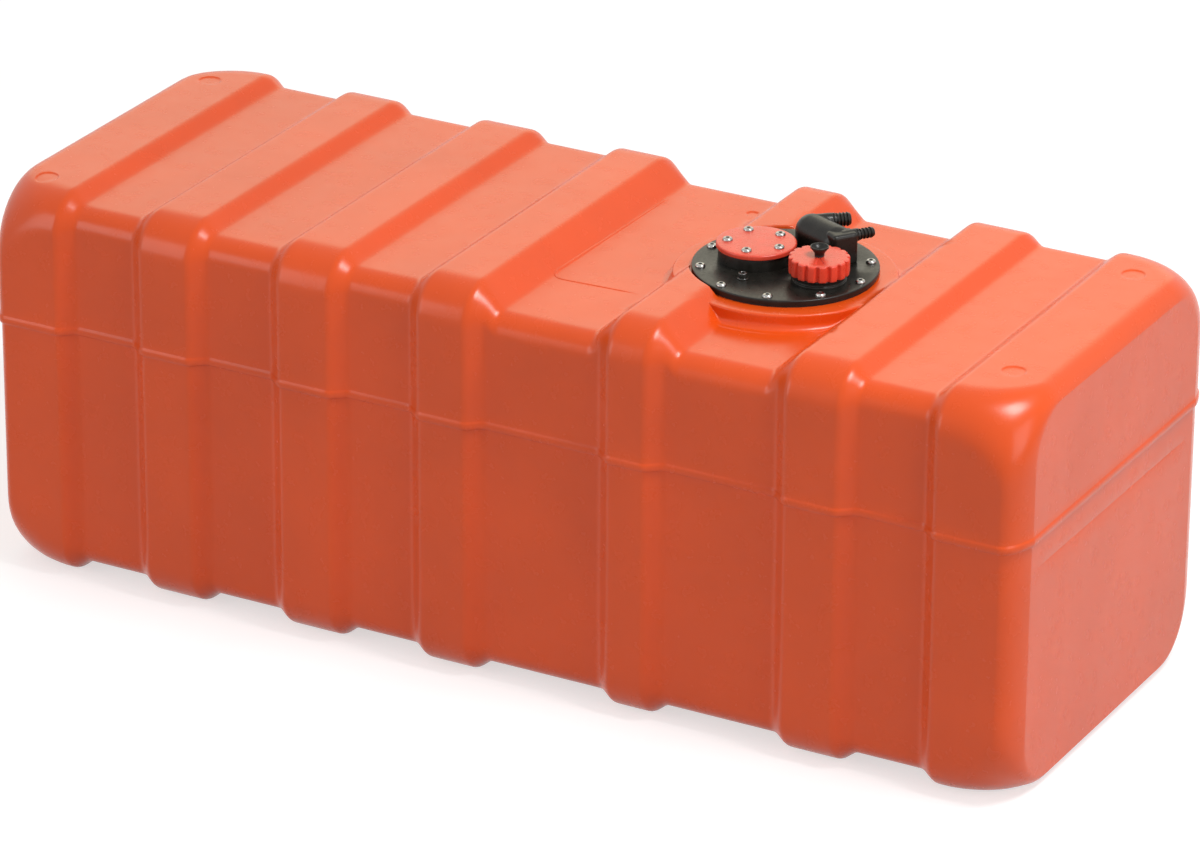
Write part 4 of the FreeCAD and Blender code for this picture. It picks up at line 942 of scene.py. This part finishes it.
def build_sender(made):
    """Blank cover of the sender port and its screws."""
    low, high = node_box("sender_cover")
    centre = (low + high)[:2] / 2
    radius = (high[0] - low[0]) / 2
    cover = lathe(soft_outline([
        (0.0, low[2]), (radius - 0.4, low[2], 0.2), (radius, low[2] + 0.6, 0.4),
        (radius, high[2] - 0.3, 1.6), (radius - 8, high[2], 3.0), (0.0, high[2])], 0.4, 6),
        centre, 160)
    make_piece("sender_cover_dressed", cover, made["red_plastic"], "root",
               ("sender_cover",))
    for number, place in enumerate(circle_places(centre, SENDER_SCREW_CIRCLE, 5, 133.4)):
        make_piece(f"sender_screw_{number + 1}",
                   button_head(place, high[2], *SCREW_HEAD), made["stainless_steel"],
                   "root", ("sender_screws",))


def cap_form():
    """Fluted cap with a wedge shaped groove in its top."""
    low, high = node_box("filler_cap")
    centre = node_centre("filler_cap")[:2]
    top, bottom = high[2], low[2]
    radius = CAP_RADIUS
    ceiling = node_box("cap_gasket")[1][2]
    boss = ceiling - 2.5
    bore = NECK_RADIUS + 0.6
    outline = [(bore, bottom, 0.4), (radius - 0.3, bottom, 0.6), (radius, bottom + 1.5, 0.5)]
    outline += [(radius, bottom + 5, 0), (radius, top - 5.0, 0), (radius, top - 3.5, 0),
                (radius, top - 0.1, 2.2), (radius - 5.0, top, 1.0)]
    outline += [(reach, top, 0) for reach in np.arange(22.6, 6.5, -0.6)]
    outline += [(6.2, top, 0), (4.0, top, 0), (2.7, top, 0.3), (2.7, boss, 0.3),
                (6.0, boss, 0.3), (6.0, ceiling, 0.3), (bore, ceiling, 0.3)]
    groove = math.radians(-62.5)

    def fluted(far, level, angle):
        if far > 24.0 and level < top + 0.1 and far > bore + 0.5:
            pitch = 2 * math.pi / CAP_FLUTES
            off = (angle + pitch / 2) % pitch - pitch / 2
            across = abs(radius * math.sin(off))
            sink = 2.7 * float(smooth_step(1.15 * (1 - across / 3.0)))
            depth = float(smooth_step((top - 0.2 - level) / 2.5))
            far -= sink * (0.75 + 0.4 * depth)
        if level > top - 0.6 and 5.8 < far < 23:
            off = (angle - groove + math.pi) % (2 * math.pi) - math.pi
            ahead, across = far * math.cos(off), abs(far * math.sin(off))
            side = ahead * math.tan(math.radians(13.0)) - across
            depth = min(side, 20.5 - ahead) / 0.9 + 0.5
            if ahead > 0:
                level -= 1.5 * float(smooth_step(depth))
        return far, level
    return lathe(soft_outline(outline, 0.4, 5), centre, 16 * 22, True, fluted)


def knob_form():
    """Vent screw with a knob that widens upwards to a dished disc."""
    low, high = node_box("vent_screw")
    centre = node_centre("vent_screw")[:2]
    foot = node_box("vent_seal")[1][2]
    top = high[2]
    radius = (high[0] - low[0]) / 2
    outline = soft_outline([
        (0.0, low[2]), (2.5, low[2], 0.5), (2.5, foot, 0), (4.6, foot, 0.4),
        (4.9, foot + 2.0, 2.0), (radius - 0.6, top - 2.2, 0.8), (radius, top - 1.7, 0.4),
        (radius, top - 0.1, 0.6), (radius - 0.9, top, 0.4), (radius - 1.8, top - 1.6, 0.8),
        (radius - 4.2, top - 4.0, 2.5), (0.0, top - 4.4)], 0.4, 5)
    return lathe(outline, centre, 96)


def build_cap(made):
    """Filler cap, and the vent screw in its middle."""
    make_piece("filler_cap_dressed", cap_form(), made["red_plastic"], "cap",
               ("filler_cap",), 45.0)
    make_piece("vent_knob", knob_form(), made["black_plastic"], "vent",
               ("vent_screw",))


def laid_along(place, level, angle, reach):
    """Matrix that lays a form made upright flat, with its foot at a reach from a place."""
    return (Matrix.Translation((place[0], place[1], level)) @ Matrix.Rotation(angle, 4, "Z")
            @ Matrix.Rotation(math.radians(90), 4, "Y") @ Matrix.Translation((0, 0, reach)))


def hose_barb(bore, spigot, spigot_length, collar, root, crest, tail, crests):
    """Hose barb made upright: spigot below zero, then a collar and a ringed tail."""
    outline = [(bore, -spigot_length, 0.2), (spigot, -spigot_length, 0.4), (spigot, 0, 0),
               (collar, 0, 0.3), (collar, 2.0, 0.4), (root, 2.0, 0.2)]
    pitch = (tail - 1.5) / crests
    for step in range(crests):
        foot = 3.5 + step * pitch
        outline += [(root, foot - 0.3, 0.1), (crest, foot, 0.25), (crest - 0.15, foot + 0.5, 0.3),
                    (root, foot + pitch - 0.4, 0.3)]
    outline += [(root - 0.4, 2.0 + tail, 0.3), (bore, 2.0 + tail, 0.3)]
    return lathe(soft_outline(outline, 0.3, 3), (0.0, 0.0), 64, True)


def stadium_dome(start, length, angle, radius, foot, rows=14):
    """Long dome with round ends that stands on upright sides."""
    points, faces, rings = [], [], []
    way = np.array((math.cos(angle), math.sin(angle)))
    steps = 64
    levels = [(1.0, foot), (1.0, foot + 4), (1.0, start[2] - 0.5)]
    levels += [(math.cos(math.radians(90 * row / rows)),
                start[2] + radius * math.sin(math.radians(90 * row / rows)))
               for row in range(rows)]
    for share, level in levels:
        ring = []
        for step in range(steps):
            turn = 2 * math.pi * (step + 0.5) / steps
            side = np.array((math.cos(angle + turn), math.sin(angle + turn)))
            middle = np.array(start[:2]) + (way * length if math.cos(turn) > 0 else 0)
            spot = middle + side * radius * share
            ring.append(len(points))
            points.append((spot[0], spot[1], level))
        rings.append(ring)
    for lower, upper in zip(rings, rings[1:]):
        faces += ring_faces(lower, upper)
    faces += [tuple(reversed(rings[0])), tuple(rings[-1])]
    return points, faces


def soft_block(size, rounding):
    """Block on the floor with rounded upright and upper edges."""
    half_x, half_y, height = size[0] / 2, size[1] / 2, size[2]
    rings, points, faces = [], [], []
    turns = [math.radians(90 * corner + 90 * step / 6) for corner in range(4) for step in range(7)]
    for row in range(9):
        lean = math.radians(90) * max(0, row - 1) / 7
        inset = rounding * (1 - math.cos(lean))
        level = 0.0 if row == 0 else height - rounding + rounding * math.sin(lean)
        ring = []
        for index, turn in enumerate(turns):
            corner = index // 7
            sign_x = 1 if corner in (0, 3) else -1
            sign_y = 1 if corner in (0, 1) else -1
            reach = rounding - inset
            ring.append(len(points))
            points.append((sign_x * (half_x - rounding) + reach * math.cos(turn),
                           sign_y * (half_y - rounding) + reach * math.sin(turn), level))
        rings.append(ring)
    for lower, upper in zip(rings, rings[1:]):
        faces += ring_faces(lower, upper)
    faces += [tuple(reversed(rings[0])), tuple(rings[-1])]
    return points, faces


def melted(name, part, voxel, rounds):
    """Points and faces of overlapping forms after they are merged and smoothed."""
    points, faces = part
    mesh = bpy.data.meshes.new(name)
    mesh.from_pydata([tuple(point) for point in points], [], faces)
    holder = bpy.data.objects.new(name, mesh)
    bpy.context.scene.collection.objects.link(holder)
    merge = holder.modifiers.new("merge", "REMESH")
    merge.mode = "VOXEL"
    merge.voxel_size = voxel
    smooth = holder.modifiers.new("smooth", "SMOOTH")
    smooth.factor = 0.5
    smooth.iterations = rounds
    graph = bpy.context.evaluated_depsgraph_get()
    result = bpy.data.meshes.new_from_object(holder.evaluated_get(graph))
    found = ([tuple(vertex.co) for vertex in result.vertices],
             [tuple(face.vertices) for face in result.polygons])
    bpy.data.objects.remove(holder)
    bpy.data.meshes.remove(mesh)
    bpy.data.meshes.remove(result)
    return found


def pickup_form():
    """Body of the fuel fitting: a long dome, a block beside it and two round mouths."""
    foot = node_box("flange_plate")[0][2] + PLATE_THICKNESS
    feed = node_centre("pickup_tube")[:2]
    back = node_centre("return_tube")[:2]
    top = node_box("pickup_body")[1][2]
    start = (feed[0], feed[1], top - DOME_RADIUS)
    dome = stadium_dome(start, BRIDGE_LENGTH, BRIDGE_ANGLE, DOME_RADIUS, foot)
    block = placed(soft_block((26.0, 18.0, 30.0), 3.4),
                   Matrix.Translation((back[0], back[1], foot))
                   @ Matrix.Rotation(RETURN_ANGLE, 4, "Z"))
    feed_mouth = placed(lathe([(0, 0), (7.4, 0), (7.4, 19.3), (6.9, FEED_REACH),
                               (0, FEED_REACH)], steps=48),
                        laid_along(feed, foot + FEED_LEVEL, FEED_ANGLE, 0))
    back_mouth = placed(lathe([(0, 0), (6.2, 0), (6.2, 14.5), (5.8, RETURN_REACH),
                               (0, RETURN_REACH)], steps=48),
                        laid_along(back, foot + RETURN_LEVEL, RETURN_ANGLE, 0))
    body = melted("pickup_merge", joined(dome, block, feed_mouth, back_mouth), 0.8, 3)
    stem = lathe(soft_outline([(0, foot - 20.5), (9.0, foot - 20.5), (9.0, foot + 1),
                               (0, foot + 1)]), feed, 64)
    back_stem = lathe(soft_outline([(0, foot - 14.5), (5.0, foot - 14.5), (5.0, foot + 1),
                                    (0, foot + 1)]), back, 48)
    return joined(body, stem, back_stem)


def build_pickup(made):
    """Fuel fitting with its two hose barbs."""
    foot = node_box("flange_plate")[0][2] + PLATE_THICKNESS
    feed = node_centre("pickup_tube")[:2]
    back = node_centre("return_tube")[:2]
    make_piece("pickup_body_dressed", pickup_form(), made["black_plastic"], "root",
               ("pickup_body",), 60.0)
    barb = hose_barb(4.0, 5.8, 7.0, 7.2, 5.7, 6.9, 15.0, 4)
    make_piece("feed_barb_dressed",
               placed(barb, laid_along(feed, foot + FEED_LEVEL, FEED_ANGLE, FEED_REACH)),
               made["black_plastic"], "root", ("feed_barb",))
    barb = hose_barb(2.5, 4.4, 6.0, 6.0, 4.3, 5.4, 16.0, 4)
    make_piece("return_barb_dressed",
               placed(barb, laid_along(back, foot + RETURN_LEVEL, RETURN_ANGLE, RETURN_REACH)),
               made["black_plastic"], "root", ("return_barb",))


def build_bonding(made):
    """Black screw for a bonding wire, with its collar."""
    place = node_centre("bonding_screw")[:2]
    seat = node_box("flange_plate")[0][2] + PLATE_THICKNESS
    collar = lathe(soft_outline([(0.0, seat - 8), (2.4, seat - 8), (2.4, seat, 0), (5.5, seat, 0.2),
                                 (5.5, seat + 1.0, 0.35), (4.4, seat + 1.2, 0.2),
                                 (0.0, seat + 1.2)], 0.3, 4), place, 64)
    top = seat + 6.0
    head = lathe(soft_outline([(0.0, seat + 0.9), (4.25, seat + 0.9, 0.1), (4.25, top, 0.8),
                               (2.6, top, 0.3), (2.0, top - 0.5, 0.1), (2.0, top - 2.5, 0.1),
                               (0.0, top - 2.5)], 0.3, 4), place, 64,
                 shape=lambda far, level, angle:
                 (far * hex_reach(1.0, angle) if 1.0 < far < 2.3 and level > top - 2.7 else far,
                  level))
    make_piece("bonding_screw_dressed", joined(collar, head), made["black_steel"], "root",
               ("bonding_screw",))


def dress_nodes(made):
    """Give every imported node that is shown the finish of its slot."""
    slots = {item["node"]: item["material_slot"] for item in frame["record"]["subparts"]}
    for name, node in frame["nodes"].items():
        for holder in node.material_slots:
            holder.material = made[slots[name]]


def soft_light(name, place, target, size, power, colour=(1.0, 1.0, 1.0)):
    """Large soft lamp that points at a place, in metres."""
    lamp = bpy.data.lights.new(name, "AREA")
    lamp.shape = "RECTANGLE"
    lamp.size, lamp.size_y = size
    lamp.energy = power
    lamp.color = colour
    holder = bpy.data.objects.new(name, lamp)
    holder.location = place
    way = Vector(target) - Vector(place)
    holder.rotation_euler = way.to_track_quat("-Z", "Y").to_euler()
    holder.visible_camera = False
    bpy.context.scene.collection.objects.link(holder)
    return holder


def seen_directly(tree):
    """Value that is 1 for rays from the camera, in mirrors and through glass, else 0."""
    path = tree.nodes.new("ShaderNodeLightPath")
    total = path.outputs["Is Camera Ray"]
    for output in ("Is Glossy Ray", "Is Transmission Ray"):
        node = tree.nodes.new("ShaderNodeMath")
        node.operation = "MAXIMUM"
        tree.links.new(total, node.inputs[0])
        tree.links.new(path.outputs[output], node.inputs[1])
        total = node.outputs[0]
    return total


def build_stage(studio):
    """Pale floor, white surroundings, soft lamps and the camera."""
    scene = bpy.context.scene
    scene.view_settings.view_transform = "Standard"
    world = bpy.data.worlds.new("studio")
    scene.world = world
    world.use_nodes = True
    tree = world.node_tree
    tree.nodes.clear()
    output = tree.nodes.new("ShaderNodeOutputWorld")
    surroundings = tree.nodes.new("ShaderNodeBackground")
    surroundings.inputs["Color"].default_value = (1, 1, 1, 1)
    level = tree.nodes.new("ShaderNodeMapRange")
    tree.links.new(seen_directly(tree), level.inputs["Value"])
    level.inputs["To Min"].default_value = studio.surround
    level.inputs["To Max"].default_value = 1.0
    tree.links.new(level.outputs["Result"], surroundings.inputs["Strength"])
    tree.links.new(surroundings.outputs["Background"], output.inputs["Surface"])

    floor_finish = Finish("studio_floor")
    grain = floor_finish.noise(3.0, 3.0)
    floor_finish.link(floor_finish.tint(grain, (0.50,) * 3, (0.52,) * 3), "Base Color")
    floor_finish.set("Roughness", 0.9)
    floor_finish.set("Specular IOR Level", 0.1)
    floor_finish.set("Emission Color", (1, 1, 1, 1))
    floor_glow = floor_finish.tree.nodes.new("ShaderNodeMapRange")
    floor_finish.tree.links.new(seen_directly(floor_finish.tree), floor_glow.inputs["Value"])
    floor_glow.inputs["To Min"].default_value = 0.0
    floor_glow.inputs["To Max"].default_value = studio.floor_glow
    floor_finish.link(floor_glow.outputs["Result"], "Emission Strength")
    steps = 96
    rim = [(studio.floor_radius / MM * math.cos(2 * math.pi * step / steps),
            studio.floor_radius / MM * math.sin(2 * math.pi * step / steps), 0.0)
           for step in range(steps)]
    mesh = bpy.data.meshes.new("studio_floor")
    mesh.from_pydata((np.array(rim) * MM).tolist(), [], [tuple(range(steps))])
    mesh.materials.append(floor_finish.material)
    floor = bpy.data.objects.new("studio_floor", mesh)
    scene.collection.objects.link(floor)

    middle = (0.0, 0.0, 0.25)
    soft_light("lamp_above", (1.3, -0.15, 2.4), middle, (0.75, 0.7), studio.top_power)
    soft_light("lamp_behind", (-2.6, 4.6, 2.6), middle, (6.0, 2.8), studio.back_power,
               (1.0, 0.88, 0.45))
    soft_light("lamp_left", (-2.4, -2.8, 1.3), middle, (1.6, 2.0), studio.left_power)
    soft_light("lamp_right", (3.3, -0.8, 1.5), middle, (1.6, 2.0), studio.right_power)

    camera = bpy.data.cameras.new("camera")
    camera.sensor_fit = "HORIZONTAL"
    camera.sensor_width = 36.0
    camera.lens = studio.lens
    camera.clip_end = 100.0
    holder = bpy.data.objects.new("camera", camera)
    back = Vector(studio.camera_place) - Vector(studio.camera_target)
    back.normalize()
    right = Vector((0, 0, 1)).cross(back).normalized()
    upward = back.cross(right)
    roll = studio.camera_roll
    turned_right = right * math.cos(roll) + upward * math.sin(roll)
    turned_up = upward * math.cos(roll) - right * math.sin(roll)
    holder.matrix_world = Matrix((
        (turned_right.x, turned_up.x, back.x, studio.camera_place[0]),
        (turned_right.y, turned_up.y, back.y, studio.camera_place[1]),
        (turned_right.z, turned_up.z, back.z, studio.camera_place[2]),
        (0, 0, 0, 1)))
    scene.collection.objects.link(holder)
    scene.camera = holder


def length_setting(name, description, default):
    """Setting that is a length in metres."""
    return bpy.props.FloatProperty(name=name, description=description, default=default,
                                   unit="LENGTH")


def power_setting(name, description, default):
    """Setting that is a lamp's power in watts."""
    return bpy.props.FloatProperty(name=name, description=description, default=default,
                                   unit="POWER")


def colour_setting(name, description, default):
    """Setting that is a linear colour."""
    return bpy.props.FloatVectorProperty(name=name, description=description, default=default,
                                         subtype="COLOR", size=3, min=0, max=1)


class FuelTankSizes(bpy.types.PropertyGroup):
    """Sizes of the moulded tank."""

    height: length_setting(
        "Height", "Height of the bands over the floor", 0.4)
    recess_depth: length_setting(
        "Recess depth", "Depth of the recesses between the bands", 0.012)
    low_depth: length_setting(
        "Low top depth", "Depth of the two low parts of the top", 0.024)
    flank_run: length_setting(
        "Flank run", "Length of the slope beside a band", 0.014)
    low_flank_run: length_setting(
        "Low flank run", "Length of the slope beside a low part", 0.025)
    edge_softness: length_setting(
        "Edge softness", "Half length of the round at a band's edge", 0.0035)
    band_edge_radius: length_setting(
        "Band edge radius", "Radius of a band's long edges", 0.040)
    recess_edge_radius: length_setting(
        "Recess edge radius", "Radius of a recess's long edges", 0.022)
    end_round_length: length_setting(
        "End round length", "Length along the tank of the round at each end", 0.020)
    end_side_round: length_setting(
        "End side round", "How far the end's face lies in from the sides", 0.033)
    end_top_round: length_setting(
        "End top round", "How far the end's face lies below the top", 0.015)
    end_bottom_round: length_setting(
        "End bottom round", "How far the end's face lies above the bottom", 0.009)
    end_corner_radius: length_setting(
        "End corner radius", "Radius of the corners of the end faces", 0.056)
    end_corner_run: length_setting(
        "End corner run", "Length over which the corners round off", 0.076)
    seam_height: length_setting(
        "Seam height", "Height of the seam's middle", 0.264)


class FuelTankColours(bpy.types.PropertyGroup):
    """Colours of the finishes."""

    tank: colour_setting(
        "Tank", "Colour of the moulded tank", (0.72, 0.076, 0.006))
    red: colour_setting(
        "Red parts", "Colour of the cap and the sender cover", (0.70, 0.062, 0.030))
    black: colour_setting(
        "Black parts", "Colour of the plate and the hose fitting", (0.010, 0.009, 0.007))
    rubber: colour_setting(
        "Rubber", "Colour of the gaskets and seals", (0.015, 0.015, 0.015))
    brass: colour_setting(
        "Brass", "Colour of the threaded inserts", (0.72, 0.52, 0.22))
    steel: colour_setting(
        "Steel", "Colour of the screws", (0.42, 0.41, 0.39))


class FuelTankStudio(bpy.types.PropertyGroup):
    """Floor, lamps and camera."""

    surround: bpy.props.FloatProperty(
        name="Surround", description="Light that comes from all round", default=0.5)
    floor_glow: bpy.props.FloatProperty(
        name="Floor glow", description="White that the floor adds for the camera", default=0.62)
    floor_radius: length_setting(
        "Floor radius", "Radius of the floor", 40.0)
    top_power: power_setting("Top lamp", "Power of the lamp above", 35.0)
    back_power: power_setting("Back lamp", "Power of the wide warm lamp behind", 42.0)
    left_power: power_setting("Left lamp", "Power of the lamp on the left", 24.0)
    right_power: power_setting("Right lamp", "Power of the lamp on the right", 24.0)
    lens: bpy.props.FloatProperty(
        name="Lens", description="Focal length in millimetres", default=194.8)
    camera_place: bpy.props.FloatVectorProperty(
        name="Camera place", description="Where the camera stands", subtype="TRANSLATION",
        size=3, default=(2.7321, -4.9898, 2.7338))
    camera_target: bpy.props.FloatVectorProperty(
        name="Camera target", description="What the camera looks at", subtype="TRANSLATION",
        size=3, default=(0.3289, -0.5846, 0.4823))
    camera_roll: bpy.props.FloatProperty(
        name="Camera roll", description="Turn of the camera about its view",
        subtype="ANGLE", default=math.radians(0.3969))


class FUELTANK_OT_nodes(bpy.types.Operator):
    """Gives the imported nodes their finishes"""

    bl_idname = "fueltank.nodes"
    bl_label = "Finish the packed nodes"

    def execute(self, context):
        dress_nodes(finishes())
        return {"FINISHED"}


class FUELTANK_OT_tank(bpy.types.Operator):
    """Builds the moulded tank"""

    bl_idname = "fueltank.tank"
    bl_label = "Build the tank"

    def execute(self, context):
        build_tank(context.scene.fuel_tank_sizes, finishes())
        return {"FINISHED"}


class FUELTANK_OT_flange(bpy.types.Operator):
    """Builds the flange plate and its screws"""

    bl_idname = "fueltank.flange"
    bl_label = "Build the flange plate"

    def execute(self, context):
        build_flange(finishes())
        return {"FINISHED"}


class FUELTANK_OT_sender(bpy.types.Operator):
    """Builds the sender cover and its screws"""

    bl_idname = "fueltank.sender"
    bl_label = "Build the sender cover"

    def execute(self, context):
        build_sender(finishes())
        return {"FINISHED"}


class FUELTANK_OT_cap(bpy.types.Operator):
    """Builds the filler cap and its vent screw"""

    bl_idname = "fueltank.cap"
    bl_label = "Build the filler cap"

    def execute(self, context):
        build_cap(finishes())
        return {"FINISHED"}


class FUELTANK_OT_pickup(bpy.types.Operator):
    """Builds the fuel fitting and its hose barbs"""

    bl_idname = "fueltank.pickup"
    bl_label = "Build the fuel fitting"

    def execute(self, context):
        build_pickup(finishes())
        return {"FINISHED"}


class FUELTANK_OT_bonding(bpy.types.Operator):
    """Builds the bonding screw"""

    bl_idname = "fueltank.bonding"
    bl_label = "Build the bonding screw"

    def execute(self, context):
        build_bonding(finishes())
        return {"FINISHED"}


class FUELTANK_OT_stage(bpy.types.Operator):
    """Builds the floor, the lamps and the camera"""

    bl_idname = "fueltank.stage"
    bl_label = "Build the studio"

    def execute(self, context):
        build_stage(context.scene.fuel_tank_studio)
        return {"FINISHED"}


OPERATORS = (FUELTANK_OT_nodes, FUELTANK_OT_tank, FUELTANK_OT_flange, FUELTANK_OT_sender,
             FUELTANK_OT_cap, FUELTANK_OT_pickup, FUELTANK_OT_bonding, FUELTANK_OT_stage)


class FUELTANK_PT_panel(bpy.types.Panel):
    """Sidebar panel with the sizes, colours and steps"""

    bl_idname = "FUELTANK_PT_panel"
    bl_label = "Marine fuel tank"
    bl_space_type = "VIEW_3D"
    bl_region_type = "UI"
    bl_category = "Fuel tank"

    def draw(self, context):
        for group in (context.scene.fuel_tank_sizes, context.scene.fuel_tank_colours,
                      context.scene.fuel_tank_studio):
            column = self.layout.column(align=True)
            for name in group.__annotations__:
                column.prop(group, name)
        for operator in OPERATORS:
            self.layout.operator(operator.bl_idname)


GROUPS = {
    "fuel_tank_sizes": FuelTankSizes,
    "fuel_tank_colours": FuelTankColours,
    "fuel_tank_studio": FuelTankStudio,
}


def register():
    """Make the groups, operators and panel known."""
    for group in GROUPS.values():
        bpy.utils.register_class(group)
    for name, group in GROUPS.items():
        setattr(bpy.types.Scene, name, bpy.props.PointerProperty(type=group))
    for item in (*OPERATORS, FUELTANK_PT_panel):
        bpy.utils.register_class(item)


def unregister():
    """Take the groups, operators and panel away again."""
    for item in (FUELTANK_PT_panel, *reversed(OPERATORS)):
        bpy.utils.unregister_class(item)
    for name in GROUPS:
        delattr(bpy.types.Scene, name)
    for group in reversed(GROUPS.values()):
        bpy.utils.unregister_class(group)


def main():
    """Build everything."""
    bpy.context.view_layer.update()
    register()
    for operator in OPERATORS:
        module, name = operator.bl_idname.split(".")
        getattr(getattr(bpy.ops, module), name)()


if __name__ == "__main__":
    main()
